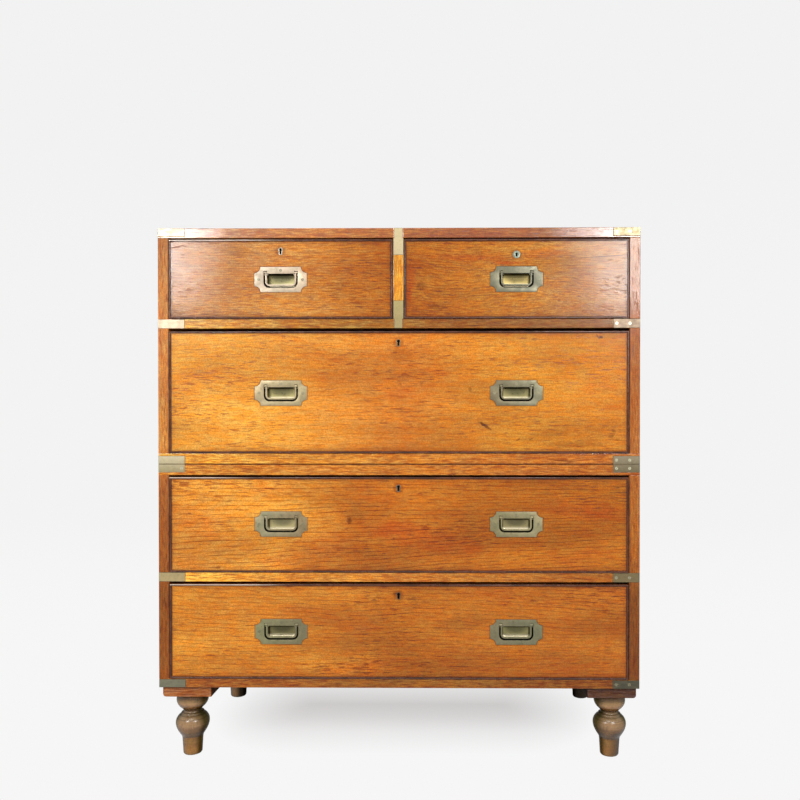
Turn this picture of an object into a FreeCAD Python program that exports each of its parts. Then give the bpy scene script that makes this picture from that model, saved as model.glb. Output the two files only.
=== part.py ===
import FreeCAD, Part
import math
import os

Vector = FreeCAD.Vector

# A campaign chest of drawers in two cases, one standing on the other, on four turned feet that unscrew.
# Millimetres. X runs along the front, Y from front to back, Z up from the floor. While it is modelled,
# Y = 0 is the carcass's front face; the last step moves every piece so that the origin is under the middle.

# Carcass
width = 990.0
depth = 457.0
foot_height = 160.0            # floor to the underside of the lower case
side_thickness = 22.0
bottom_board = 18.5            # board heights as they show on the front
front_rail = 19.0
lower_top_board = 22.5
upper_bottom_board = 22.0
top_board = 20.5
bottom_opening = 200.5         # heights of the drawer openings
middle_opening = 201.0
deep_opening = 257.0
top_opening = 166.0
stile_width = 21.0             # between the two short drawers
stile_depth = 45.0
partition_thickness = 15.0
rail_depth = 60.0
runner_width = 30.0
centre_runner_width = 70.0
back_thickness = 12.0
back_rebate = 10.0
back_boards = 3
back_board_gap = 0.5
housing = 8.0                  # how far rails and runners enter the sides
carcass_tail_length = 13.5
carcass_tails = 5
carcass_tail_margin = 4.0      # from the front face and the rebate to the first and last tail's pitch
tenon_shoulder = 6.0           # wood left in front of and behind a rail's tenon
tenon_cheek = 4.0              # and above and below it
stile_tenon_half = 4.0
stile_tenon_shoulder = 10.0
stop_size = (40.0, 16.0, 6.0)  # glued blocks that a closing drawer meets
stop_inset = 70.0
stop_clearance = 0.2

# Drawers
travel_length = 432.0          # drawer length, front face to back
side_gap = 1.0
floor_gap = 0.3
front_thickness = 22.0
lap = 7.0                      # wood left in front of the lapped dovetails
lining = 10.5                  # drawer sides and back
panel_thickness = 7.0          # drawer bottom
panel_height = 10.0
panel_groove = 5.0
back_drop = 8.0                # the drawer back stops short of the sides' top edge
side_drop = 2.0
tail_slope = 1.0 / 6.0
tail_share = 0.68
bead_width = 3.5
bead_depth = 6.5
bead_proud = 2.5
nose_flats = 3

# Flush handles
handle_spacing = 242.0         # from the chest's centre line to each handle
plate_width = 108.0
plate_height = 52.0
plate_thickness = 2.5
plate_notch = 12.5
curve_flats = 3                # flats in each quarter turn of a small cast or sawn curve
pan_half_width = 35.2
pan_top = 12.0                 # above the plate's centre
pan_bottom = -17.0
pan_depth = 12.5
pan_wall = 1.8
pan_corner = 11.5              # lower corners, seen from the front
pan_sweep = 9.5                # curve from the pan's back to its lower wall
pan_end_sweep = 7.0            # curve from the pan's back to its end walls
bail_half_width = 33.0
bail_bottom = -14.6
bail_corner = 9.5
bail_bar = 4.6                 # bar width, seen from the front
bail_front = 0.4               # bar's front and back faces, behind the plate's face
bail_back = 4.6
pivot_height = 14.3
pivot_inset = 2.6
knuckle_radius = 3.7
knuckle_flats = 8
knuckle_inner = 28.2
knuckle_outer = 35.0
trunnion_radius = 1.4
trunnion_flats = 8
trunnion_length = 3.4
trunnion_clearance = 0.08
trunnion_end_play = 0.8
knuckle_clearance = 0.4
ear_width = 4.2                # the plate's solid ear that holds a trunnion
ear_depth = 8.4
pocket_clearance = 0.4

# Locks
lock_width = 62.0
lock_height = 45.0
lock_thickness = 11.0
selvedge_width = 13.0
selvedge_thickness = 2.5
bolt_width = 26.0
bolt_thickness = 6.0
bolt_length = 27.0
bolt_throw = 10.0
bolt_drawn_back = 0.3          # the open bolt's end, below the selvedge's face
bolt_clearance = 0.4
bolt_set_back = 0.5            # behind the middle of the lock's case
mortise_clearance = 1.2
key_head_radius = 2.9
key_slot_width = 3.0
key_slot_length = 6.0
key_head_flats = 8
key_head_rise = 2.4            # above the keyhole's middle
escutcheon_border = 1.6
escutcheon_depth = 3.0
round_escutcheon_radius = 7.8
round_escutcheon_flats = 20

# Brass binding, let in flush
strap_thickness = 2.0
strap_length = 55.0
strap_height = 17.0
centre_strap_width = 18.0
centre_strap_drop = 35.0       # below the top board
centre_strap_back = 38.0       # along the top
low_strap_rise = 37.5          # above the rail
low_strap_width = 17.0

# Feet and pegs
foot_inset_x = 48.5
foot_inset_y = 60.0
foot_profile = [               # radius and height, from the floor to the cushion's shoulder
    (17.6, 0.0), (21.2, 34.0), (29.8, 51.0), (34.8, 67.0), (30.3, 79.5), (18.9, 90.0), (18.9, 95.0),
    (31.0, 106.0), (33.2, 117.0)]
foot_top_radius = 27.0
foot_flats = 18
block_size = 101.0
block_thickness = 22.5
block_inset_x = 4.5
block_inset_y = 8.0
block_round = 6.0
spigot_radius = 16.0
spigot_flats = 9
spigot_length = 19.0
spigot_clearance = 0.15
peg_half = 9.0
peg_lead = 3.0
peg_buried = 15.0
peg_exposed = 12.0
peg_inset = 60.0
peg_clearance = 0.3

# Levels, from the floor up
lower_base = foot_height
bottom_floor = lower_base + bottom_board
lower_rail_base = bottom_floor + bottom_opening
middle_floor = lower_rail_base + front_rail
lower_top_base = middle_floor + middle_opening
split = lower_top_base + lower_top_board
deep_floor = split + upper_bottom_board
upper_rail_base = deep_floor + deep_opening
top_floor = upper_rail_base + front_rail
top_base = top_floor + top_opening
height = top_base + top_board

half = width / 2
inner_half = half - side_thickness
stile_half = stile_width / 2
back_face = depth - back_thickness
front_shift = -(depth + bead_proud) / 2 + bead_proud

# One line per drawer: left and right of its opening, its floor and head, the gap over it,
# handle positions, how far the handles hang below the middle, keyhole depth, tails, escutcheon.
drawers = {
    "top_left_drawer": dict(left=-inner_half, right=-stile_half, floor=top_floor, head=top_base, gap=3.0,
                            handles=[-handle_spacing], drop=1.9, key_x=-handle_spacing, key_drop=26.2,
                            tails=3, round_plate=False),
    "top_right_drawer": dict(left=stile_half, right=inner_half, floor=top_floor, head=top_base, gap=3.0,
                             handles=[handle_spacing], drop=1.9, key_x=handle_spacing, key_drop=34.5,
                             tails=3, round_plate=True),
    "deep_drawer": dict(left=-inner_half, right=inner_half, floor=deep_floor, head=upper_rail_base, gap=6.0,
                        handles=[-handle_spacing, handle_spacing], drop=4.4, key_x=0.0, key_drop=29.3,
                        tails=5, round_plate=False),
    "middle_drawer": dict(left=-inner_half, right=inner_half, floor=middle_floor, head=lower_top_base,
                          gap=4.0, handles=[-handle_spacing, handle_spacing], drop=0.5, key_x=0.0,
                          key_drop=26.3, tails=4, round_plate=False),
    "bottom_drawer": dict(left=-inner_half, right=inner_half, floor=bottom_floor, head=lower_rail_base,
                          gap=4.5, handles=[-handle_spacing, handle_spacing], drop=2.7, key_x=0.0,
                          key_drop=27.8, tails=4, round_plate=False),
}


# Basic shapes

def box(x0, x1, y0, y1, z0, z1):
    return Part.makeBox(x1 - x0, y1 - y0, z1 - z0, Vector(x0, y0, z0))


def fused(shapes):
    whole = shapes[0]
    if len(shapes) > 1:
        whole = shapes[0].multiFuse(shapes[1:])
    return whole.removeSplitter()


def cut_all(shape, tools):
    if tools:
        shape = shape.cut(Part.makeCompound(tools))
    return shape.removeSplitter()


def moved(shape, x, y, z):
    copy = shape.copy()
    copy.translate(Vector(x, y, z))
    return copy


def mirrored(shape):
    return shape.mirror(Vector(0, 0, 0), Vector(1, 0, 0))


def prism(points, direction):
    corners = points + points[:1]
    return Part.Face(Part.makePolygon(corners)).extrude(direction)


# A round bar in flats, its edges on the given radius. The direction is one of the three axes.

def barrel(radius, flats, start, direction, length):
    up = Vector(direction.y, direction.z, direction.x)
    across = direction.cross(up)
    points = []
    for index in range(flats):
        angle = 2 * math.pi * (index + 0.5) / flats
        points.append(start + up * (radius * math.cos(angle)) + across * (radius * math.sin(angle)))
    return prism(points, direction * length)


# A turning about the Z axis in flats, from a profile of (radius, height).

def turned(profile, flats):
    rings = []
    for radius, z in profile:
        angles = [2 * math.pi * index / flats for index in range(flats + 1)]
        rings.append([Vector(radius * math.cos(angle), radius * math.sin(angle), z) for angle in angles])
    outlines = [rings[0], rings[-1]]
    for low, high in zip(rings, rings[1:]):
        for index in range(flats):
            corner = low[index]
            outlines.append([corner, low[index + 1], high[index + 1], high[index], corner])
    faces = [Part.Face(Part.makePolygon(outline)) for outline in outlines]
    return Part.Solid(Part.Shell(faces))


# A closed outline whose right-angled corners are rounded in flats: corners is a list of (point, radius).

def rounded(corners):
    count = len(corners)
    points = []
    for index in range(count):
        point, radius = corners[index]
        if radius == 0:
            points.append(point)
            continue
        before = (corners[index - 1][0] - point).normalize()
        after = (corners[(index + 1) % count][0] - point).normalize()
        for step in range(curve_flats + 1):
            angle = math.pi / 2 * step / curve_flats
            points.append(point + before * (radius * (1 - math.sin(angle)))
                          + after * (radius * (1 - math.cos(angle))))
    return points


# Dovetail tails in a row, from x0 to x1. They widen from root to tip, and stand side by side
# between low and high: along Y on the carcass, along Z on a drawer.

def tail_row(x0, x1, low, high, root, tip, count, along):
    pitch = (high - low) / count
    half_root = pitch * tail_share / 2
    half_tip = half_root + abs(tip - root) * tail_slope
    tails = []
    for index in range(count):
        middle = low + pitch * (index + 0.5)
        outline = [(middle - half_root, root), (middle + half_root, root),
                   (middle + half_tip, tip), (middle - half_tip, tip)]
        if along == "y":
            points = [Vector(x0, a, b) for a, b in outline]
        else:
            points = [Vector(x0, b, a) for a, b in outline]
        tails.append(prism(points, Vector(x1 - x0, 0, 0)))
    return tails


# Brass binding

def corner_strap(z0, z1, at_back=False):
    """Angle strap on the right-hand corner, one leg on the front or back and one on the side."""
    inner = half - strap_length
    y0 = depth - strap_thickness if at_back else 0.0
    side_y0 = depth - strap_length if at_back else 0.0
    face_leg = box(inner, half, y0, y0 + strap_thickness, z0, z1)
    side_leg = box(half - strap_thickness, half, side_y0, side_y0 + strap_length, z0, z1)
    return fused([face_leg, side_leg])


def top_corner_strap(at_back=False):
    """Three-way bracket: the angle strap with two more legs along the top's edges."""
    z0 = height - strap_thickness
    y0 = depth - strap_height if at_back else 0.0
    side_y0 = depth - strap_length if at_back else 0.0
    along_front = box(half - strap_length, half, y0, y0 + strap_height, z0, height)
    along_side = box(half - strap_height, half, side_y0, side_y0 + strap_length, z0, height)
    return fused([corner_strap(height - strap_height, height, at_back), along_front, along_side])


def centre_top_strap():
    w = centre_strap_width / 2
    down = box(-stile_half, stile_half, 0, strap_thickness, top_base - centre_strap_drop, top_base)
    edge = box(-w, w, 0, strap_thickness, top_base, height)
    over = box(-w, w, 0, centre_strap_back, height - strap_thickness, height)
    return fused([down, edge, over])


def centre_low_strap():
    w = low_strap_width / 2
    on_stile = box(-stile_half, stile_half, 0, strap_thickness, top_floor, top_floor + low_strap_rise)
    on_rail = box(-w, w, 0, strap_thickness, upper_rail_base, top_floor)
    return fused([on_stile, on_rail])


def both_sides(shapes):
    return shapes + [mirrored(shape) for shape in shapes]


def make_lower_straps():
    return both_sides([
        corner_strap(lower_base, lower_base + strap_height),
        corner_strap(split - strap_height, split),
        corner_strap(lower_rail_base, middle_floor),
        corner_strap(lower_base, lower_base + strap_height, at_back=True),
        corner_strap(split - strap_height, split, at_back=True),
    ])


def make_upper_straps():
    return both_sides([
        corner_strap(split, split + strap_height),
        corner_strap(upper_rail_base, top_floor),
        corner_strap(split, split + strap_height, at_back=True),
        top_corner_strap(),
        top_corner_strap(at_back=True),
    ]) + [centre_top_strap(), centre_low_strap()]


# Feet, blocks and pegs

def foot():
    """Turned foot: tapered ankle, bulb, neck and cushion, with the spigot that screws into the block."""
    top = foot_height - block_thickness
    body = turned(foot_profile + [(foot_top_radius, top)], foot_flats)
    spigot = barrel(spigot_radius, spigot_flats, Vector(0, 0, top - 1), Vector(0, 0, 1), spigot_length + 1)
    return fused([body, spigot])


def foot_places():
    x = half - foot_inset_x
    return [(sign * x, y) for sign in (-1, 1) for y in (foot_inset_y, depth - foot_inset_y)]


def spigot_holes():
    top = foot_height - block_thickness
    radius = spigot_radius + spigot_clearance
    return [barrel(radius, spigot_flats, Vector(x, y, top - 1), Vector(0, 0, 1),
                   spigot_length + 1 + spigot_clearance) for x, y in foot_places()]


def make_foot_blocks():
    """Blocks under the corners, their lower outer edge rounded over."""
    outer = half - block_inset_x
    inner = outer - block_size
    low = foot_height - block_thickness
    blocks = []
    for y0 in (block_inset_y, depth - block_inset_y - block_size):
        corners = [(Vector(inner, y0, low), 0), (Vector(outer, y0, low), block_round),
                   (Vector(outer, y0, foot_height), 0), (Vector(inner, y0, foot_height), 0)]
        blocks.append(prism(rounded(corners), Vector(0, block_size, 0)))
    holes = spigot_holes()
    return [cut_all(block, holes) for block in both_sides(blocks)]


def peg_places():
    x = half - peg_inset
    return [(sign * x, y) for sign in (-1, 1) for y in (peg_inset, depth - peg_inset)]


def peg(grow):
    """Square locating peg with a chamfered lower end, its origin where the two cases meet."""
    w = peg_half + grow
    tip = w - peg_lead
    low = -peg_exposed - grow
    outline = [(-w, peg_buried), (w, peg_buried), (w, low + peg_lead), (tip, low), (-tip, low),
               (-w, low + peg_lead)]
    return prism([Vector(x, -w, z) for x, z in outline], Vector(0, 2 * w, 0))


def pegs(grow):
    return [moved(peg(grow), x, y, split) for x, y in peg_places()]


# Carcass joinery

def case_side(low, high):
    """Right-hand side board, with dovetails that enter the boards above and below it."""
    board = box(inner_half, half, 0, depth, low, high)
    first = carcass_tail_margin
    last = back_face - carcass_tail_margin
    up = tail_row(inner_half, half, first, last, high, high + carcass_tail_length, carcass_tails, "y")
    down = tail_row(inner_half, half, first, last, low, low - carcass_tail_length, carcass_tails, "y")
    rebate = box(inner_half - 1, inner_half + back_rebate, back_face, depth + 1, low - 1, high + 1)
    return cut_all(fused([board] + up + down), [rebate])


def make_back(low, high):
    """Horizontal boards between the sides' rebates."""
    reach = inner_half + back_rebate
    pitch = (high - low) / back_boards
    boards = []
    for index in range(back_boards):
        z0 = low + index * pitch + (back_board_gap if index else 0)
        boards.append(box(-reach, reach, back_face, depth, z0, low + (index + 1) * pitch))
    return boards


def make_rail(z0):
    """Front rail with a stub tenon into each side."""
    body = box(-inner_half, inner_half, 0, rail_depth, z0, z0 + front_rail)
    reach = inner_half + housing
    tenon = box(-reach, reach, tenon_shoulder, rail_depth - tenon_shoulder,
                z0 + tenon_cheek, z0 + front_rail - tenon_cheek)
    return fused([body, tenon])


def side_runner(z0):
    x0 = inner_half - runner_width
    return box(x0, inner_half + housing / 2, rail_depth, back_face, z0, z0 + front_rail)


def drawer_stops(drawer):
    """Two blocks behind the closed front, on the board or rail that the drawer stands on."""
    length, across, rise = stop_size
    y0 = front_thickness + stop_clearance
    z0 = drawer["floor"]
    lefts = (drawer["left"] + stop_inset, drawer["right"] - stop_inset - length)
    return [box(x0, x0 + length, y0, y0 + across, z0, z0 + rise) for x0 in lefts]


def bolt_mortise(drawer):
    """Slot over the lock that the raised bolt enters."""
    x = drawer["key_x"]
    across = bolt_width / 2 + mortise_clearance
    deep = bolt_thickness / 2 + mortise_clearance
    y = bolt_y()
    rise = bolt_throw - drawer["gap"] + mortise_clearance
    return box(x - across, x + across, y - deep, y + deep, drawer["head"] - 1, drawer["head"] + rise)


def make_lower_case(nodes):
    straps = make_lower_straps()
    side = case_side(bottom_floor, lower_top_base)
    sides = both_sides([side])
    rail = make_rail(lower_rail_base)
    runners = both_sides([side_runner(lower_rail_base)])
    bottom = box(-half, half, 0, depth, lower_base, bottom_floor)
    top = box(-half, half, 0, depth, lower_top_base, split)
    middle_mortise = bolt_mortise(drawers["middle_drawer"])
    bottom_mortise = bolt_mortise(drawers["bottom_drawer"])
    nodes["lower_sides"] = [cut_all(board, [rail] + runners + straps) for board in sides]
    nodes["lower_top"] = [cut_all(top, sides + straps + pegs(peg_clearance) + [middle_mortise])]
    nodes["lower_bottom"] = [cut_all(bottom, sides + straps)]
    nodes["lower_back"] = make_back(bottom_floor, lower_top_base)
    nodes["lower_rail"] = [cut_all(rail, straps + [bottom_mortise])]
    nodes["lower_runners"] = (runners + drawer_stops(drawers["middle_drawer"])
                              + drawer_stops(drawers["bottom_drawer"]))
    nodes["lower_straps"] = straps
    nodes["foot_blocks"] = make_foot_blocks()
    nodes["feet"] = [moved(foot(), x, y, 0) for x, y in foot_places()]


def make_upper_case(nodes):
    straps = make_upper_straps()
    side = case_side(deep_floor, top_base)
    sides = both_sides([side])
    rail = make_rail(upper_rail_base)
    centre_half = centre_runner_width / 2
    centre_runner = box(-centre_half, centre_half, rail_depth, back_face, upper_rail_base, top_floor)
    runners = both_sides([side_runner(upper_rail_base)])
    bottom = box(-half, half, 0, depth, split, deep_floor)
    top = box(-half, half, 0, depth, top_base, height)
    tenon = box(-stile_tenon_half, stile_tenon_half, stile_tenon_shoulder, stile_depth - stile_tenon_shoulder,
                top_floor - housing, top_base + housing)
    stile = fused([box(-stile_half, stile_half, 0, stile_depth, top_floor, top_base), tenon])
    leaf_half = partition_thickness / 2
    partition = box(-leaf_half, leaf_half, stile_depth, back_face, top_floor, top_base)
    case_pegs = pegs(0)
    top_mortises = [bolt_mortise(drawers[name]) for name in ("top_left_drawer", "top_right_drawer")]
    deep_mortise = bolt_mortise(drawers["deep_drawer"])
    nodes["upper_sides"] = [cut_all(board, [rail] + runners + straps) for board in sides]
    nodes["upper_top"] = [cut_all(top, sides + straps + [tenon] + top_mortises)]
    nodes["upper_bottom"] = [cut_all(bottom, sides + straps + case_pegs)] + case_pegs
    nodes["upper_back"] = make_back(deep_floor, top_base)
    nodes["upper_rail"] = [cut_all(rail, straps + [tenon, deep_mortise])]
    nodes["upper_partition"] = [cut_all(stile, straps), partition]
    nodes["upper_runners"] = runners + [centre_runner]
    for name in ("top_left_drawer", "top_right_drawer", "deep_drawer"):
        nodes["upper_runners"] += drawer_stops(drawers[name])
    nodes["upper_straps"] = straps


# Flush handle: every shape is about the plate's centre, on the plane of the drawer's face

def pan_hollow():
    """The hand-hold: a trough whose back is swept to its ends and its foot, with round lower corners."""
    side = pan_half_width
    front = rounded([
        (Vector(-side, 0, pan_top), 0), (Vector(-side, 0, pan_bottom), pan_corner),
        (Vector(side, 0, pan_bottom), pan_corner), (Vector(side, 0, pan_top), 0)])
    section = rounded([
        (Vector(-side, 0, pan_top), 0), (Vector(-side, pan_depth, pan_top), 0),
        (Vector(-side, pan_depth, pan_bottom), pan_sweep), (Vector(-side, 0, pan_bottom), 0)])
    plan = rounded([
        (Vector(-side, 0, pan_bottom), 0), (Vector(-side, pan_depth, pan_bottom), pan_end_sweep),
        (Vector(side, pan_depth, pan_bottom), pan_end_sweep), (Vector(side, 0, pan_bottom), 0)])
    from_front = prism(front, Vector(0, pan_depth, 0))
    from_end = prism(section, Vector(2 * side, 0, 0))
    from_above = prism(plan, Vector(0, 0, pan_top - pan_bottom))
    return from_front.common(from_end).common(from_above)


def pan_outside(grow):
    side = pan_half_width + grow
    return box(-side, side, 0, pan_depth + grow, pan_bottom - grow, pan_top + grow)


def plate_outline():
    """Plate with its four corners notched by quarter circles."""
    x = plate_width / 2
    z = plate_height / 2
    angles = [math.pi / 2 * step / curve_flats for step in range(curve_flats + 1)]
    notch = [(plate_notch * math.sin(angle), plate_notch * math.cos(angle)) for angle in angles]
    points = []
    for sx, sz, walk in ((-1, -1, 1), (1, -1, -1), (1, 1, 1), (-1, 1, -1)):
        for along, up in notch[::walk]:
            points.append(Vector(sx * (x - along), 0, sz * (z - up)))
    return prism(points, Vector(0, plate_thickness, 0))


def knuckle_slot():
    """Room for the bail's knuckle on the right, up from the pan's corner."""
    reach = knuckle_radius + knuckle_clearance
    return box(knuckle_inner - knuckle_clearance, knuckle_outer + knuckle_clearance,
               0, pivot_inset + reach, pan_top - 1, pivot_height + reach)


def ear(grow):
    """Right-hand lug behind the plate that holds the knuckle's slot and the trunnion's bore."""
    x0 = knuckle_inner - knuckle_clearance - pan_wall - grow
    x1 = knuckle_outer + knuckle_clearance + ear_width + grow
    reach = knuckle_radius + knuckle_clearance + pan_wall + grow
    return box(x0, x1, 0, ear_depth + grow, pan_top - 2 - grow, pivot_height + reach)


def trunnion(radius, length):
    start = Vector(knuckle_outer - 1, pivot_inset, pivot_height)
    return barrel(radius, trunnion_flats, start, Vector(1, 0, 0), length + 1)


def handle_plate():
    """Cast plate: notched flange, dished pan, and an ear on each side bored for the bail's trunnion."""
    solid = fused([plate_outline(), pan_outside(pan_wall)] + both_sides([ear(0)]))
    flat_share = math.cos(math.pi / trunnion_flats)
    bore = trunnion((trunnion_radius + trunnion_clearance) / flat_share, trunnion_length + trunnion_end_play)
    return cut_all(solid, [pan_hollow()] + both_sides([knuckle_slot(), bore]))


def handle_pocket():
    """What the drawer front loses for the plate."""
    return fused([plate_outline(), pan_outside(pan_wall + pocket_clearance)]
                 + both_sides([ear(pocket_clearance)]))


def bail():
    """Swinging handle: a U of flat bar, its knuckles and its trunnions."""
    outer = rounded([
        (Vector(-bail_half_width, bail_front, pivot_height), 0),
        (Vector(-bail_half_width, bail_front, bail_bottom), bail_corner),
        (Vector(bail_half_width, bail_front, bail_bottom), bail_corner),
        (Vector(bail_half_width, bail_front, pivot_height), 0)])
    inner_x = bail_half_width - bail_bar
    inner = rounded([
        (Vector(-inner_x, bail_front, pivot_height + 1), 0),
        (Vector(-inner_x, bail_front, bail_bottom + bail_bar), bail_corner - bail_bar),
        (Vector(inner_x, bail_front, bail_bottom + bail_bar), bail_corner - bail_bar),
        (Vector(inner_x, bail_front, pivot_height + 1), 0)])
    thickness = Vector(0, bail_back - bail_front, 0)
    bar = prism(outer, thickness).cut(prism(inner, thickness))
    knuckle = barrel(knuckle_radius, knuckle_flats, Vector(knuckle_inner, pivot_inset, pivot_height),
                     Vector(1, 0, 0), knuckle_outer - knuckle_inner)
    return fused([bar] + both_sides([knuckle, trunnion(trunnion_radius, trunnion_length)]))


# Lock: every shape is about the point on the drawer's top edge over the keyhole

def bolt_y():
    return front_thickness - lock_thickness / 2 + bolt_set_back


def keyhole(grow, y0, y1):
    """Round head with a slot below, about the keyhole's middle."""
    head = barrel(key_head_radius + grow, key_head_flats, Vector(0, y0, key_head_rise),
                  Vector(0, 1, 0), y1 - y0)
    w = key_slot_width / 2 + grow
    slot = box(-w, w, y0, y1, key_head_rise - key_head_radius - key_slot_length - grow, key_head_rise)
    return fused([head, slot])


def bolt():
    """Lock bolt, drawn back: its end lies just under the selvedge's face."""
    w = bolt_width / 2
    y = bolt_y()
    t = bolt_thickness / 2
    return box(-w, w, y - t, y + t, -bolt_drawn_back - bolt_length, -bolt_drawn_back)


def lock_body(key_drop):
    """Lock case and selvedge in one, hollowed for the bolt and pierced for the key."""
    y1 = front_thickness
    w = lock_width / 2
    case = box(-w, w, y1 - lock_thickness, y1, -lock_height, 0)
    selvedge = box(-w, w, y1 - selvedge_width, y1, -selvedge_thickness, 0)
    bw = bolt_width / 2 + bolt_clearance
    bt = bolt_thickness / 2 + bolt_clearance
    channel = box(-bw, bw, bolt_y() - bt, bolt_y() + bt, -bolt_drawn_back - bolt_length - 1, 1)
    hole = moved(keyhole(0, y1 - lock_thickness - 1, bolt_y() - bt), 0, 0, -key_drop)
    return cut_all(fused([case, selvedge]), [channel, hole])


def escutcheon(round_plate):
    """Brass lining of the keyhole, or a round plate in its place."""
    hole = keyhole(0, -1, escutcheon_depth + 1)
    if round_plate:
        blank = barrel(round_escutcheon_radius, round_escutcheon_flats, Vector(0, 0, 0),
                       Vector(0, 1, 0), escutcheon_depth)
    else:
        blank = keyhole(escutcheon_border, 0, escutcheon_depth)
    return cut_all(blank, [hole])


# Drawers

def mitre_cutter(outline):
    return prism([Vector(x, -bead_proud, z) for x, z in outline], Vector(0, bead_proud + bead_depth, 0))


def cockbead(x0, x1, z0, z1):
    """Four mitred strips round the front, their noses standing proud."""
    w = bead_width
    radius = w / 2
    section = [(bead_depth, -radius)]
    for step in range(nose_flats + 1):
        angle = math.pi * step / nose_flats
        section.append((radius - bead_proud - radius * math.sin(angle), -radius * math.cos(angle)))
    section.append((bead_depth, radius))
    rails = [[(x0, z1), (x1, z1), (x1 - w, z1 - w), (x0 + w, z1 - w)],
             [(x0, z0), (x1, z0), (x1 - w, z0 + w), (x0 + w, z0 + w)]]
    stiles = [[(x0, z0), (x0, z1), (x0 + w, z1 - w), (x0 + w, z0 + w)],
              [(x1, z0), (x1, z1), (x1 - w, z1 - w), (x1 - w, z0 + w)]]
    strips = []
    for outline in rails:
        middle = (outline[0][1] + outline[2][1]) / 2
        strip = prism([Vector(x0, y, middle + offset) for y, offset in section], Vector(x1 - x0, 0, 0))
        strips.append(strip.common(mitre_cutter(outline)))
    for outline in stiles:
        middle = (outline[0][0] + outline[2][0]) / 2
        strip = prism([Vector(middle + offset, y, z0) for y, offset in section], Vector(0, 0, z1 - z0))
        strips.append(strip.common(mitre_cutter(outline)))
    return strips


def make_drawer(nodes, bails, name, drawer):
    x0 = drawer["left"] + side_gap
    x1 = drawer["right"] - side_gap
    z0 = drawer["floor"] + floor_gap
    z1 = drawer["head"] - drawer["gap"]
    rear = travel_length
    side_top = z1 - side_drop
    back_low = z0 + panel_height + panel_thickness
    back_top = side_top - back_drop

    # Bottom panel, grooved into the front and sides and run under the back
    panel = fused([
        box(x0 + lining - panel_groove, x1 - lining + panel_groove, front_thickness, rear,
            z0 + panel_height, back_low),
        box(x0 + lining, x1 - lining, front_thickness - panel_groove, front_thickness,
            z0 + panel_height, back_low)])

    # Sides: lapped dovetails into the front, through dovetails round the back's pins
    sides = []
    for a, b in ((x0, x0 + lining), (x1 - lining, x1)):
        board = box(a, b, front_thickness, rear, z0, side_top)
        tails = tail_row(a, b, z0, side_top, front_thickness, lap, drawer["tails"], "z")
        pins = cut_all(box(a, b, rear - lining, rear, back_low, back_top),
                       tail_row(a, b, back_low, back_top, rear - lining, rear, drawer["tails"] - 1, "z"))
        sides.append(cut_all(fused([board] + tails), [pins, panel]))
    back = cut_all(box(x0, x1, rear - lining, rear, back_low, back_top), sides)

    # Front, with everything that is let into it
    w = bead_width
    middle_z = (drawer["floor"] + drawer["head"]) / 2 - drawer["drop"]
    key_x = drawer["key_x"]
    key_z = drawer["head"] - drawer["key_drop"]
    lock = moved(lock_body(z1 - key_z), key_x, 0, z1)
    lock_bolt = moved(bolt(), key_x, 0, z1)
    plate_hole = moved(escutcheon(drawer["round_plate"]), key_x, 0, key_z)
    key_way = moved(keyhole(0, -1, front_thickness - lock_thickness), key_x, 0, key_z)
    blank = box(x0, x1, 0, front_thickness, z0, z1)
    rebate = box(x0 - 1, x1 + 1, -1, bead_depth, z0 - 1, z1 + 1).cut(
        box(x0 + w, x1 - w, -2, bead_depth + 1, z0 + w, z1 - w))
    pockets = [moved(handle_pocket(), x, 0, middle_z) for x in drawer["handles"]]
    lock_room = [box(key_x - lock_width / 2, key_x + lock_width / 2, front_thickness - lock_thickness,
                     front_thickness + 1, z1 - lock_height, z1 + 1),
                 box(key_x - lock_width / 2, key_x + lock_width / 2, front_thickness - selvedge_width,
                     front_thickness + 1, z1 - selvedge_thickness, z1 + 1)]
    front = cut_all(blank, [rebate, panel, key_way, plate_hole] + sides + pockets + lock_room)

    nodes[name + "_front"] = [front]
    nodes[name + "_frame"] = sides + [back]
    nodes[name + "_panel"] = [panel]
    nodes[name + "_cockbead"] = cockbead(x0, x1, z0, z1)
    nodes[name + "_handle_plates"] = [moved(handle_plate(), x, 0, middle_z) for x in drawer["handles"]]
    nodes[name + "_lock"] = [lock, plate_hole]
    nodes[name + "_bolt"] = [lock_bolt]
    for x in drawer["handles"]:
        suffix = "_bail"
        if len(drawer["handles"]) > 1:
            suffix = "_bail_left" if x < 0 else "_bail_right"
        bails[name + suffix] = (x, middle_z + pivot_height)
        nodes[name + suffix] = [moved(bail(), x, 0, middle_z)]


def main():
    nodes = {}
    bails = {}
    make_lower_case(nodes)
    make_upper_case(nodes)
    for name, drawer in drawers.items():
        make_drawer(nodes, bails, name, drawer)
    os.makedirs("parts", exist_ok=True)
    for name, solids in nodes.items():
        shape = solids[0] if len(solids) == 1 else Part.makeCompound(solids)
        moved(shape, 0, front_shift, 0).exportStep("parts/" + name + ".step")
    print(len(nodes), "nodes, height", height, "front face at y", front_shift)
    for name, (x, z) in bails.items():
        print(name, "pivot", x, front_shift + pivot_inset, z)


main()
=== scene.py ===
import math

import bmesh
import bpy
from mathutils import Matrix, Vector


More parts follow.
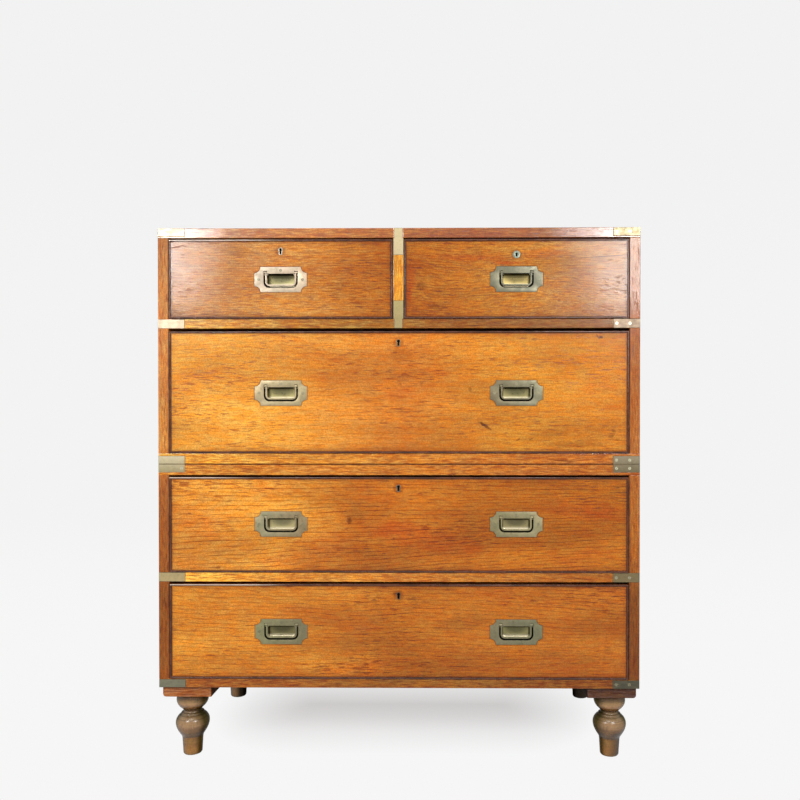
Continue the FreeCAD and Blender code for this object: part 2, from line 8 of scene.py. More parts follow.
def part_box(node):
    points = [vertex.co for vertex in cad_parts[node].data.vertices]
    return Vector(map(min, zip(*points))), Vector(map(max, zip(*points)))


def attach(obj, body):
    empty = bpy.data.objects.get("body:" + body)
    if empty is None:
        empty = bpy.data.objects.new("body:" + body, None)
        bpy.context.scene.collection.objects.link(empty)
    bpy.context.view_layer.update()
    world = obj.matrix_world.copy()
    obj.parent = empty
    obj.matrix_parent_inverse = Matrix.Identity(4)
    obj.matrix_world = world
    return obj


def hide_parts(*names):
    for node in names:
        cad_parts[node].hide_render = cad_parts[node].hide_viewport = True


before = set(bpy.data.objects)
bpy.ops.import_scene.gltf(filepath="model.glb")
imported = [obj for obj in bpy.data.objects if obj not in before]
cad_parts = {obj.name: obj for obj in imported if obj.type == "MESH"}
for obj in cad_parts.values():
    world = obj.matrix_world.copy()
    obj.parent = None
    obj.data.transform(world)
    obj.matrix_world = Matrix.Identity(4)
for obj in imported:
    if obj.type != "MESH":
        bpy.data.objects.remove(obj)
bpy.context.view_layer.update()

mm = 0.001
faceY = -0.22725            # the carcass's front face, which the drawer fronts stand flush with
backY = 0.22975
halfWidth = 0.495
caseSplit = 0.6215          # where the upper case stands on the lower one
drawerNames = ["top_left_drawer", "top_right_drawer", "deep_drawer", "middle_drawer", "bottom_drawer"]
print("frame loaded")


# Camera and lamps

view = dict(place=(0.10195, -1.70283, 0.6832), pitch=89.495, turn=0.527, lens=32.35,
            shiftX=-0.05185, shiftY=0.0506)

lamps = [  # soft boxes: where they stand, what they point at, size in metres, watts
    dict(name="softBoxLeft", place=(-1.18, -1.9, 1.5), aim=(-0.2, -0.23, 0.8), size=(0.34, 0.42), watts=19),
    dict(name="softBoxRight", place=(0.96, -1.9, 1.49), aim=(0.2, -0.23, 0.75), size=(0.42, 0.5), watts=22),
    dict(name="softBoxAbove", place=(-0.4, -2.3, 3.3), aim=(-0.1, -0.23, 0.6), size=(1.3, 0.9), watts=22),
    dict(name="softBoxBehind", place=(0.6, 2.2, 2.2), aim=(0.0, 0.2, 0.5), size=(1.4, 1.4), watts=22),
]


def addObject(name, data):
    made = bpy.data.objects.new(name, data)
    bpy.context.scene.collection.objects.link(made)
    return made


def placeCamera():
    lens = bpy.data.cameras.new("viewCamera")
    lens.lens = view["lens"]
    lens.sensor_width = 36
    lens.shift_x = view["shiftX"]
    lens.shift_y = view["shiftY"]
    camera = addObject("viewCamera", lens)
    camera.location = view["place"]
    camera.rotation_euler = (math.radians(view["pitch"]), 0, math.radians(view["turn"]))
    bpy.context.scene.camera = camera


def placeLamps():
    for lamp in lamps:
        light = bpy.data.lights.new(lamp["name"], "AREA")
        light.shape = "RECTANGLE"
        light.size, light.size_y = lamp["size"]
        light.energy = lamp["watts"]
        holder = addObject(lamp["name"], light)
        holder.location = lamp["place"]
        toward = Vector(lamp["aim"]) - Vector(lamp["place"])
        holder.rotation_euler = toward.to_track_quat("-Z", "Y").to_euler()
        holder.visible_camera = False


# Node helpers: they all add to the tree that was started last

class Signal:  # a node's output, on which sums can be written as on a number
    def __init__(self, socket):
        self.socket = socket

    def __rsub__(self, other):
        return calc("SUBTRACT", other, self)


for method, operation in dict(add="ADD", sub="SUBTRACT", mul="MULTIPLY", truediv="DIVIDE", gt="GREATER_THAN",
                              lt="LESS_THAN", abs="ABSOLUTE").items():
    setattr(Signal, f"__{method}__", lambda *values, operation=operation: calc(operation, *values))


def startTree(owner):
    global tree
    owner.use_nodes = True
    tree = owner.node_tree
    tree.nodes.clear()


def addNode(kind, inputs=(), output=0, **settings):
    made = tree.nodes.new("ShaderNode" + kind)
    for key, value in settings.items():
        setattr(made, key, value)
    for key, value in dict(inputs).items():
        if isinstance(value, Signal):
            tree.links.new(value.socket, made.inputs[key])
        else:
            made.inputs[key].default_value = value
    return Signal(made.outputs[output])


def calc(operation, *values, clamp=False):
    return addNode("Math", enumerate(values), operation=operation, use_clamp=clamp)


def larger(first, *others):
    for other in others:
        first = calc("MAXIMUM", first, other)
    return first


def smaller(first, *others):
    for other in others:
        first = calc("MINIMUM", first, other)
    return first


def vectorCalc(operation, *values):
    return addNode("VectorMath", enumerate(values), output=int(operation == "LENGTH"), operation=operation)


def lengthOf(x=0.0, y=0.0, z=0.0):
    return vectorCalc("LENGTH", addNode("CombineXYZ", {0: x, 1: y, 2: z}))


def splitAxes(vector):
    return [Signal(output) for output in addNode("SeparateXYZ", {0: vector}).socket.node.outputs]


def mapped(vector, kind="POINT", place=(0, 0, 0), turn=(0, 0, 0), scale=(1, 1, 1)):
    turn = [math.radians(angle) for angle in turn]
    return addNode("Mapping", {"Vector": vector, "Location": place, "Rotation": turn, "Scale": scale}, vector_type=kind)


def noise(vector, scale, detail=2.0, roughness=0.5, distortion=0.0, output="Fac"):
    if isinstance(scale, tuple):  # finer along one axis than along another
        vector, scale = mapped(vector, scale=scale), 1.0
    return addNode("TexNoise", {"Vector": vector, "Scale": scale, "Detail": detail, "Roughness": roughness,
                                "Distortion": distortion}, output=output)


def between(value, low, high, start=0.0, end=1.0):  # low..high becomes start..end, smoothly
    return addNode("MapRange", {"Value": value, 1: low, 2: high, 3: start, 4: end}, interpolation_type="SMOOTHSTEP")


def blended(factor, a, b, how="MIX"):
    return addNode("MixRGB", {"Fac": factor, "Color1": a, "Color2": b}, blend_type=how)


def darker(amount, colour, shade):  # the colour under that much of a darker glaze
    return blended(amount, colour, blended(1.0, colour, (*shade, 1), "MULTIPLY"))


def tinted(amount, colour, low, high):  # the colour under a glaze that goes from low to high
    return blended(1.0, colour, blended(amount, (*low, 1), (*high, 1)), "MULTIPLY")


def tone(red, green, blue):  # a colour as a paint chart gives it, 0 to 255
    linear = [(part / 255 / 12.92) if part < 10.4 else ((part / 255 + 0.055) / 1.055) ** 2.4
              for part in (red, green, blue)]
    return (*linear, 1.0)


def zoned(place, stops):  # colours at places along an axis, blended from each to the next
    first, last = stops[0][0], stops[-1][0]
    made = addNode("ValToRGB", {"Fac": calc("DIVIDE", place - first, last - first, clamp=True)})
    elements = made.socket.node.color_ramp.elements
    while len(elements) < len(stops):
        elements.new(0.5)
    for element, (at, value) in zip(elements, stops):
        element.position = (at - first) / (last - first)
        element.color = tone(*value)
    return made


def newMaterial(name):
    material = bpy.data.materials.new(name)
    startTree(material)
    coords = addNode("TexCoord", output="Object")
    return material, coords, *splitAxes(coords)


def show(shader, kind="Material"):
    tree.links.new(shader.socket, tree.nodes.new("ShaderNodeOutput" + kind).inputs[0])


def showSurface(colour, roughness, specular, relief, strength, depth, metallic=0.0):
    bump = addNode("Bump", {"Strength": strength, "Distance": depth, "Height": relief})
    show(addNode("BsdfPrincipled", {"Base Color": colour, "Roughness": roughness, "Metallic": metallic,
                                    "Specular IOR Level": specular, "Normal": bump}))


def tidyMesh(bm, name):
    mesh = bpy.data.meshes.new(name)
    bm.to_mesh(mesh)
    bm.free()
    return mesh


# Room: a pale floor that keeps the chest's shadow, and a pale sky that only lights it softly

room = dict(light=0.4, horizon=0.896, zenith=0.887, skyFrom=0.15, skyTo=0.34,
            floorNear=0.921, floorFar=0.896, floorTone=0.7, nearY=0.2, farY=4.5,
            shadowX=0.24, shadowY=0.11, shadowDeep=0.29, shadowShare=0.56)  # it fades out under the case's edges


def grey(part):
    return (*[room[part]] * 3, 1.0)


def seenDirectly():  # 1 where the camera looks, straight or by way of a shine, and 0 for light that falls on things
    rays = addNode("LightPath").socket.node.outputs
    return larger(*(Signal(rays[ray]) for ray in ("Is Camera Ray", "Is Glossy Ray", "Is Transmission Ray")))


def makeWorld():
    world = bpy.data.worlds.new("paleRoom")
    bpy.context.scene.world = world
    startTree(world)
    up = splitAxes(addNode("TexCoord", output="Generated"))[2]
    shown = blended(between(up, room["skyFrom"], room["skyTo"]), grey("horizon"), grey("zenith"))
    show(addNode("Background", {"Color": blended(seenDirectly(), grey("light"), shown)}), "World")


def makeFloor():
    bm = bmesh.new()
    bmesh.ops.create_grid(bm, x_segments=4, y_segments=4, size=14)
    floor = addObject("paleFloor", tidyMesh(bm, "paleFloor"))
    material, coords, atX, atY, atZ = newMaterial("paleFloorPaint")
    shown = blended(between(atY, room["nearY"], room["farY"]), grey("floorNear"), grey("floorFar"))
    across = larger(abs(atX) - room["shadowX"], 0.0) / room["shadowX"]
    along = (atY - room["shadowY"]) / room["shadowDeep"]
    out = calc("POWER", across * across + along * along, 0.5)
    share = calc("MULTIPLY_ADD", out, 1 - room["shadowShare"], room["shadowShare"], clamp=True)
    paint = addNode("BsdfDiffuse", {"Color": grey("floorTone")})
    glow = addNode("Emission", {"Color": shown})
    show(addNode("MixShader", {0: seenDirectly() * share, 1: paint, 2: glow}))
    floor.data.materials.append(material)


placeCamera()
placeLamps()
makeWorld()
makeFloor()
print("camera, lamps and room ready")


# Wood

turns = {"x": (0, 0, 0), "y": (0, 0, -90), "z": (0, 90, 0)}  # brings the grain onto the pattern's X
woodDefaults = dict(grain="x", zoneAxis="X", rightLitZones=None, sway=0.018, wave=0.0035, lines=(0.0065, 0.5), cloudy=0.5,
                    figure=1.0, mottle=0.5, pores=0.6, roughness=0.19, specular=0.25, marks=(), stains=(), seams=())


def wandering(grain, scale, size, **settings):
    drift = noise(grain, scale, output="Color", **settings)
    return vectorCalc("ADD", grain, vectorCalc("MULTIPLY_ADD", drift, (0, size, size), (0, -size / 2, -size / 2)))


def woodMaterial(name, given):
    # zones: places along one axis with the colour there, holding painted light and shade as well as the wood's tone;
    # lines: their spacing and depth; marks: dark flaws
    wood = dict(woodDefaults, **given)
    material, coords, atX, atY, atZ = newMaterial(name)
    grain = mapped(coords, place=wood["offset"], turn=turns[wood["grain"]])
    grain = wandering(grain, (2.6, 6, 6), wood["sway"], detail=1.5)
    grain = wandering(grain, (30, 42, 42), wood["wave"], roughness=0.55)
    if "flame" in wood:  # the grain's lines draw together towards one end, round a heart line
        heartX, heartZ, closing = wood["flame"]
        squeeze = (atZ - heartZ) * ((atX - heartX) * closing)
        grain = vectorCalc("ADD", grain, addNode("CombineXYZ", {2: squeeze}))

    # Colour zones along the board, with a soft irregular border; they carry painted light, lighter where the lamps fall
    along = dict(X=atX, Z=atZ)[wood["zoneAxis"]] + (noise(grain, 9.0, 3) * 0.16 - 0.08)
    colour = zoned(along, wood["zones"])
    if wood["rightLitZones"]:  # the right side's colours, which hold painted shade and light
        colour = blended(between(atX, -0.3, 0.3), colour, zoned(along, wood["rightLitZones"]))

    # Growth lines: thin, dark, unevenly spaced and broken
    spacing, depth = wood["lines"]
    phase = noise(grain, (4, 34, 34), 1.5, 0.4) * 2.0 + splitAxes(grain)[2] / spacing
    line = between(calc("PINGPONG", phase, 0.5), 0.02, 0.15, 1.0, 0.0)
    broken = between(noise(grain, (26, 150, 150), 2, 0.6), 0.36, 0.58, 0.1, depth)
    colour = darker(line * broken, colour, (0.5, 0.34, 0.27))

    # Broad light and dark drifts; then bands and short streaks, and where they are dark the wood is redder
    clouds = between(noise(grain, (3.4, 11, 11), 2.5), 0.34, 0.66)
    dark, light = ([1 + share * wood["cloudy"] for share in shares]
                   for shares in ((-0.16, -0.2, -0.24), (0.13, 0.17, 0.2)))
    colour = tinted(clouds, colour, dark, light)
    broad = noise(grain, (2.6, 28, 28), 3, 0.55)
    bands = noise(grain, (22, 150, 150), 2, 0.6, distortion=0.2)
    streaks = noise(grain, (440 / 9, 440, 440), 1.5, 0.6)
    shade = broad * 0.26 + bands * 0.12 + streaks * 0.62
    reach = 0.14 / wood["figure"]
    colour = tinted(between(shade, 0.5 - reach, 0.5 + reach), colour, (0.7, 0.5, 0.4), (1.22, 1.4, 1.46))
    hue = between(noise(grain, (30, 110, 110), 2, 0.7), 0.36, 0.64)
    colour = tinted(hue, colour, (1.06, 0.93, 0.66), (0.97, 1.05, 1.34))
    mottle = between(noise(grain, (5, 18, 18), 4, 0.62), 0.5, 0.72, 0.0, wood["mottle"])
    colour = darker(mottle, colour, (0.9, 0.66, 0.56))
    flecks = between(noise(coords, 430.0, 1.5, 0.6), 0.32, 0.68)
    colour = tinted(flecks, colour, (0.85, 0.83, 0.79), (1.15, 1.17, 1.21))

    # Short dark pores, crowded in some places and few in others
    crowd = between(noise(grain, (4, 20, 20)), 0.35, 0.7, 0.66, 0.555)
    pores = between(noise(grain, (46, 470, 470), 1.5) - crowd, 0.0, 0.06)
    colour = darker(pores * wood["pores"], colour, (0.46, 0.3, 0.22))

    # Knots, scratches, cracks and ink spots; the stains are redder patches
    spots = [(mark, (0.2, 0.1, 0.07)) for mark in wood["marks"]]
    spots += [(stain, (0.95, 0.48, 0.36)) for stain in wood["stains"]]
    for (x, z, long, high, tilt, depth), shade in spots:
        spot = mapped(coords, kind="TEXTURE", place=(x, 0, z), turn=(0, tilt, 0), scale=(long, 10, high))
        away = vectorCalc("LENGTH", spot) + (noise(coords, 260.0) * 0.8 - 0.4)
        colour = darker(between(away, 0.45, 1.1, depth, 0.0), colour, shade)

    # Dust in the joints between boards, on the case's outer faces; the sides are darker in a narrow strip where the
    # beads lie against them
    for seam in wood["seams"]:
        outer = larger(atY < faceY + 1.5 * mm, atY > backY - 1.5 * mm)
        colour = darker(outer * between(abs(atZ - seam), 0.0009, 0.0021, 0.9, 0.0), colour, (0.14, 0.08, 0.06))
    if "shoulder" in wood:
        inside = abs(atX) - wood["shoulder"]
        colour = darker(between(inside, 0.0012, 0.003, 0.55, 0.0), colour, (0.34, 0.26, 0.22))

    # A drawer front: darker round the plates, whose corners are hollow; dirt round the keyhole and painted shade in its
    # bore; old polish and painted shade along the edges
    if "plates" in wood:
        x, z = wood["plates"]
        beside = abs(abs(atX) - x * mm) - handle["width"] / 2
        above = abs(atZ - z * mm) - handle["height"] / 2
        beyond = larger(beside, above, handle["notch"] - lengthOf(x=beside, z=above))
        colour = darker(between(beyond, 0.0002, 0.0022, 0.75, 0.0), colour, (0.3, 0.24, 0.2))
        x, z = wood["keyhole"]
        deep = atY > faceY + 2.5 * mm
        around = between(lengthOf(x=atX - x * mm, z=atZ - z * mm), 0.0085, 0.013, 0.5, 0.0)
        colour = darker(larger(around, deep), colour, (0.42, 0.32, 0.28))
        # painted shade: the keyhole's bore is near black
        colour = darker(deep * (around > 0.4), colour, (0.03, 0.03, 0.03))
        low, high = wood["edges"]
        tight = smaller(atX - low.x, high.x - atX, atZ - low.z, high.z - atZ)
        near = tight + (noise(coords, 30.0, 3) * 0.012 - 0.006)
        # a darker band along the edges: old polish and painted shade
        colour = darker(between(near, 0.003, 0.016, 0.42, 0.0), colour, (0.52, 0.4, 0.36))
        # painted shadow: a narrow dark line just inside the bead
        colour = darker(between(tight, 0.0045, 0.0062, 0.75, 0.0), colour, (0.3, 0.22, 0.18))

    rough = wood["roughness"]
    gloss = between(noise(coords, 7.0, 3), 0.3, 0.75, rough - 0.04, rough + 0.08)
    if "dullLeft" in wood:  # the polish has worn off the left side
        gloss = larger(gloss, between(atX, -0.3, 0.3, wood["dullLeft"], 0.0))
    if "shadedBack" in wood:  # the blocks under the case: painted shade, dark towards the back and on their inner faces
        shadeUnder = larger(between(atY, -0.115, -0.105), between(abs(atX), 0.3897, 0.3906, 1.0, 0.0))
        colour = darker(shadeUnder * wood["shadedBack"], colour, (0.1, 0.1, 0.1))
        gloss = larger(gloss, shadeUnder)
    showSurface(colour, pores * 0.15 + gloss, wood["specular"], streaks * 0.35 - pores, 0.25, 0.00018)
    return material


# Each front's zones hold painted light and sheen as well as its tone: lighter where the lamps fall
drawerWoods = dict(
    top_left_drawer=dict(
        zones=[(-0.47, (164, 113, 63)), (-0.36, (184, 124, 59)), (-0.24, (194, 130, 57)), (-0.02, (158, 90, 21))],
        figure=0.6, mottle=0.55, pores=0.75, lines=(0.0052, 0.75), offset=(0.3, 0.7, 0.11),
        marks=[(-0.335, 1.058, 0.05, 0.012, 4, 0.25)]),
    top_right_drawer=dict(
        zones=[(0.02, (157, 91, 24)), (0.16, (164, 98, 25)), (0.3, (172, 111, 40)), (0.47, (165, 116, 64))],
        figure=0.62, mottle=0.9, pores=0.8, cloudy=0.9, sway=0.07, wave=0.007, lines=(0.005, 0.85),
        offset=(1.3, 0.2, 0.51),
        stains=[(0.22, 1.034, 0.034, 0.004, 0, 0.7), (0.022, 0.971, 0.007, 0.02, 0, 0.8),
                (0.025, 1.006, 0.012, 0.04, 0, 0.5), (0.14, 1.045, 0.1, 0.008, 1, 0.45),
                (0.3, 1.052, 0.05, 0.012, 0, 0.35)],
        marks=[(0.425, 1.0466, 0.065, 0.0011, -3.6, 1.0), (0.08, 0.944, 0.03, 0.006, 0, 0.35),
               (0.045, 0.986, 0.012, 0.01, 0, 0.4)]),
    deep_drawer=dict(
        zones=[(-0.47, (221, 152, 56)), (-0.3, (221, 152, 56)), (0, (195, 116, 39)),
               (0.25, (202, 133, 40)), (0.47, (191, 118, 36))],
        figure=0.31, mottle=0.9, pores=0.75, cloudy=1.0, sway=0.03, lines=(0.01, 0.32), offset=(0.9, 0.4, 0.23),
        marks=[(0.4145, 0.8815, 0.0055, 0.0035, 0, 0.95), (0.408, 0.883, 0.008, 0.0015, 60, 0.7),
               (0.177, 0.701, 0.02, 0.0036, 33, 0.8), (0.3, 0.68, 0.06, 0.012, -10, 0.22),
               (0.004, 0.845, 0.035, 0.016, 0, 0.25), (0.441, 0.69, 0.006, 0.004, 30, 0.5),
               (0.436, 0.679, 0.008, 0.004, -20, 0.5), (0.449, 0.671, 0.006, 0.003, 0, 0.4),
               (0.246, 0.672, 0.006, 0.0018, -30, 0.6), (0.272, 0.673, 0.005, 0.0016, -30, 0.6),
               (0.147, 0.775, 0.004, 0.006, 0, 0.35), (0.36, 0.662, 0.08, 0.008, 0, 0.3)]),
    middle_drawer=dict(
        zones=[(-0.47, (213, 140, 51)), (-0.25, (219, 149, 53)), (-0.08, (184, 108, 29)),
               (0.2, (174, 100, 22)), (0.47, (176, 103, 24))],
        figure=0.34, mottle=0.9, pores=0.8, cloudy=1.2, sway=0.012, wave=0.0016, lines=(0.0068, 1.0),
        offset=(2.1, 0.9, 0.77), flame=(0.3, 0.56, 0.4),
        stains=[(0.05, 0.47, 0.16, 0.03, 12, 0.4), (0.38, 0.53, 0.1, 0.03, 8, 0.3)],
        marks=[(-0.101, 0.505, 0.006, 0.009, 0, 0.7), (-0.09, 0.52, 0.03, 0.015, 0, 0.2)]),
    bottom_drawer=dict(
        zones=[(-0.47, (217, 140, 42)), (-0.22, (207, 131, 40)), (0, (175, 101, 23)),
               (0.25, (177, 102, 24)), (0.47, (177, 102, 26))],
        figure=0.38, mottle=0.8, pores=0.8, cloudy=1.0, sway=0.026, lines=(0.008, 0.7), offset=(3.3, 0.1, 0.36),
        flame=(0.0, 0.235, 0.3),
        marks=[(0.43, 0.236, 0.012, 0.006, 0, 0.25), (0.13, 0.293, 0.07, 0.02, -8, 0.22)]),
)


print("writing the finishes")
liningZones = [(0.16, (190, 142, 82)), (1.1, (196, 148, 88))]
caseWoods = {name: woodMaterial(name, wood) for name, wood in dict(  # zones: left to right, or up the sides, with painted light and shade in them
    topWood=dict(
        zones=[(-0.49, (168, 118, 72)), (-0.2, (173, 105, 39)), (0.1, (154, 84, 22)), (0.49, (134, 80, 38))],
        offset=(4.2, 1, 0.3), pores=0.5, roughness=0.18, specular=0.75,
        marks=[(0.345, 1.0975, 0.012, 0.0011, -48, 0.7)]),
    upperRailWood=dict(
        zones=[(-0.49, (221, 166, 75)), (-0.1, (176, 129, 54)), (0.1, (137, 85, 33)), (0.49, (131, 81, 32))],
        offset=(5.2, 1, 0.9), mottle=0.7),
    upperBottomWood=dict(
        zones=[(-0.49, (228, 164, 62)), (0, (199, 126, 45)), (0.49, (176, 100, 36))],
        offset=(6.3, 2, 0.5), seams=[caseSplit], marks=[(0.335, 0.629, 0.03, 0.003, 6, 0.5)]),
    lowerTopWood=dict(
        zones=[(-0.49, (216, 147, 56)), (0, (189, 116, 42)), (0.49, (170, 98, 35))],
        offset=(6.9, 2, 0.2), seams=[caseSplit]),
    lowerRailWood=dict(
        zones=[(-0.49, (249, 178, 66)), (0, (189, 117, 41)), (0.49, (148, 82, 24))], offset=(7.1, 2, 0.1)),
    bottomWood=dict(
        zones=[(-0.49, (167, 98, 35)), (0, (142, 85, 25)), (0.49, (137, 78, 24))],
        offset=(8.8, 1, 0.7), figure=1.3, mottle=0.8),
    sideWood=dict(
        zones=[(0.16, (137, 75, 23)), (0.36, (140, 77, 22)), (0.42, (156, 88, 29)),
               (0.6, (164, 95, 36)), (0.66, (199, 132, 57)), (0.92, (189, 120, 49)), (1.1, (151, 91, 36))],
        rightLitZones=[(0.16, (127, 70, 19)), (0.36, (130, 72, 18)), (0.42, (164, 95, 30)),
                    (0.6, (172, 102, 38)), (0.66, (168, 101, 43)), (0.92, (160, 91, 37)), (1.1, (161, 104, 42))],
        grain="z", zoneAxis="Z", offset=(1.1, 3, 0.2), figure=0.6, mottle=0.9, lines=(0.0065, 0.3), dullLeft=0.5,
        shoulder=halfWidth - 0.022),
    stileWood=dict(
        zones=[(0.92, (210, 146, 51)), (1.1, (210, 146, 51))],
        grain="z", zoneAxis="Z", offset=(2.6, 4, 0.8), figure=0.7, mottle=0.3, pores=0.5),
    liningWood=dict(zones=liningZones, grain="y", zoneAxis="Z", offset=(3.6, 5, 0.4), figure=0.5, mottle=0.4,
                    pores=0.4, roughness=0.55, specular=0.2),
    backWood=dict(zones=liningZones, zoneAxis="Z", offset=(4.9, 6, 0.6), figure=0.6, mottle=0.6, pores=0.5,
                  cloudy=1.0, roughness=0.6, specular=0.2, seams=[0.3189, 0.4591, 0.7911, 0.9384]),
    blockWood=dict(
        zones=[(-0.49, (163, 100, 57)), (0, (114, 73, 48)), (0.49, (86, 59, 46))],
        offset=(9.9, 1, 0.2), figure=1.1, mottle=0.6, roughness=0.34, specular=0.15, shadedBack=0.95),
).items()}


footFinish = dict(
    light=(184, 138, 93), dark=(90, 64, 36), line=(44, 28, 14),
    quirks=(0.041, 0.0985), rings=(0.079, 0.085, 0.09, 0.0945), middleX=0.4465, middleY=(-0.16725, 0.16975),
    paintedLightByHeight=[  # painted light over it at heights up the foot: painted highlights on the rounds, painted shade under them
        (0, (193, 202, 192)), (0.01, (223, 219, 188)), (0.02, (215, 212, 188)), (0.03, (214, 222, 202)),
        (0.036, (212, 212, 172)), (0.0424, (161, 158, 124)), (0.0488, (149, 149, 124)), (0.0552, (185, 182, 166)),
        (0.0616, (193, 191, 188)), (0.068, (225, 233, 238)), (0.0744, (218, 226, 227)), (0.0808, (210, 225, 234)),
        (0.0872, (178, 193, 197)), (0.0936, (168, 177, 177)), (0.0985, (146, 134, 96)), (0.1045, (175, 158, 117)),
        (0.1128, (251, 255, 255)), (0.119, (215, 225, 206)), (0.125, (188, 188, 172))])


def footWood(name):
    # Turned wood: darker in the quirks, with rings where the tool ran; painted highlights on the rounds, painted shade
    # under them and towards the sides
    material, coords, atX, atY, atZ = newMaterial(name)
    light, dark, groove = (tone(*footFinish[part]) for part in ("light", "dark", "line"))
    rings = noise(coords, (9, 9, 420), 3)
    patches = noise(coords, 40.0, 4, 0.62)
    colour = blended(between(rings * 0.3 + patches * 0.7, 0.1, 0.58), dark, light)
    colour = blended(between(noise(coords, (260, 260, 22), 3), 0.54, 0.72, 0.0, 0.3), colour, dark)
    below = between(patches * 0.02 + atZ, 0.052, 0.072, 0.9, 0.0)
    colour = darker(below, colour, (0.96, 0.78, 0.32))  # browner where hands and cloths have not rubbed it
    uneven = (patches - 0.5) * 0.006 + atZ
    colour = blended(1.0, colour, zoned(uneven, footFinish["paintedLightByHeight"]), "MULTIPLY")
    outside = between(atX, 0.428, 0.46) * between(atZ, 0.052, 0.064, 1.0, 0.0) * (atY < 0.0)
    colour = darker(outside, colour, (0.34, 0.33, 0.28))  # painted shade on the right foot's outer side
    front, rear = footFinish["middleY"]
    outX = abs(atX) - footFinish["middleX"]
    outY = (atY > 0.0) * (front - rear) + (atY - front)
    turned = outY / larger(lengthOf(outX, outY), 0.001)  # -1 in front, 0 at the sides
    # painted shade: darker where the surface turns away to the sides
    colour = darker(between(turned, -0.99, -0.4), colour, (0.23, 0.3, 0.21))
    lines = [(level, 0.0035, 0.5) for level in footFinish["quirks"]]
    for level, wide, depth in lines + [(level, 0.0013, 0.4) for level in footFinish["rings"]]:
        colour = blended(between(abs(atZ - level), wide / 6, wide, depth, 0.0), colour, groove)
    colour = darker(between(atZ, 0.124, 0.134, 0.0, 0.85), colour, (0.22, 0.18, 0.14))
    shaded = between(atX, -0.452, -0.436, 0.25, 1.0) * between(atY, -0.1, 0.05)
    shaded = shaded * between(turned, -0.4, 0.5, 1.0, 0.7)
    colour = darker(shaded, colour, (0.06, 0.07, 0.06))  # painted shade: the rear feet are dark, as under the case
    gloss = larger(between(patches, 0.3, 0.7, 0.2, 0.32), shaded)
    showSurface(colour, gloss, between(turned, -0.95, -0.5, 0.55, 0.02), rings, 0.3, 0.0003)
    return material


beadFinish = dict(
    dark=((58, 30, 17), (96, 52, 30)), bare=((98, 58, 34), (132, 84, 50)), paintedHighlight=(226, 206, 184),
    lightStreaks=dict(top_left_drawer=(-0.36, -0.2), middle_drawer=(-0.4, -0.28), bottom_drawer=(-0.32, -0.22)))


def beadWood(name):
    # Cockbead: nearly black polish, brown where it has rubbed, and a painted highlight along some top edges' left ends
    material, coords, atX, atY, atZ = newMaterial(name)
    worn = noise(coords, (26, 26, 26), 4, 0.6)
    fine = noise(coords, 420.0)
    polish, bare = (blended(amount, tone(*low), tone(*high)) for amount, (low, high) in (
        (between(worn, 0.35, 0.7), beadFinish["dark"]), (worn, beadFinish["bare"])))
    colour = blended(between(fine, 0.55, 0.72, 0.0, 0.3), polish, tone(40, 20, 13))
    colour = blended(between(atY, faceY + 1.0 * mm, faceY + 2.5 * mm), colour, bare)  # where it is let in
    # painted highlight: a pale line along the top bead's ridge at these drawers' left ends
    for drawer, (near, far) in beadFinish["lightStreaks"].items():
        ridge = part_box(drawer + "_cockbead")[1].z - 0.0016
        paintedHighlight = between(abs(atZ - ridge), 0.0005, 0.0011, 0.85, 0.0) * between(atX, near, far, 1.0, 0.0)
        colour = blended(paintedHighlight, colour, tone(*beadFinish["paintedHighlight"]))
    showSurface(colour, between(worn, 0.3, 0.7, 0.18, 0.34), 0.45, fine, 0.2, 0.0002)
    return material


brassDefaults = dict(zoneAxis="Z", cloudScale=70.0, patinaShare=0.5, tarnishShare=0.3, metallic=0.85, specular=0.5,
                     relief=0.15)


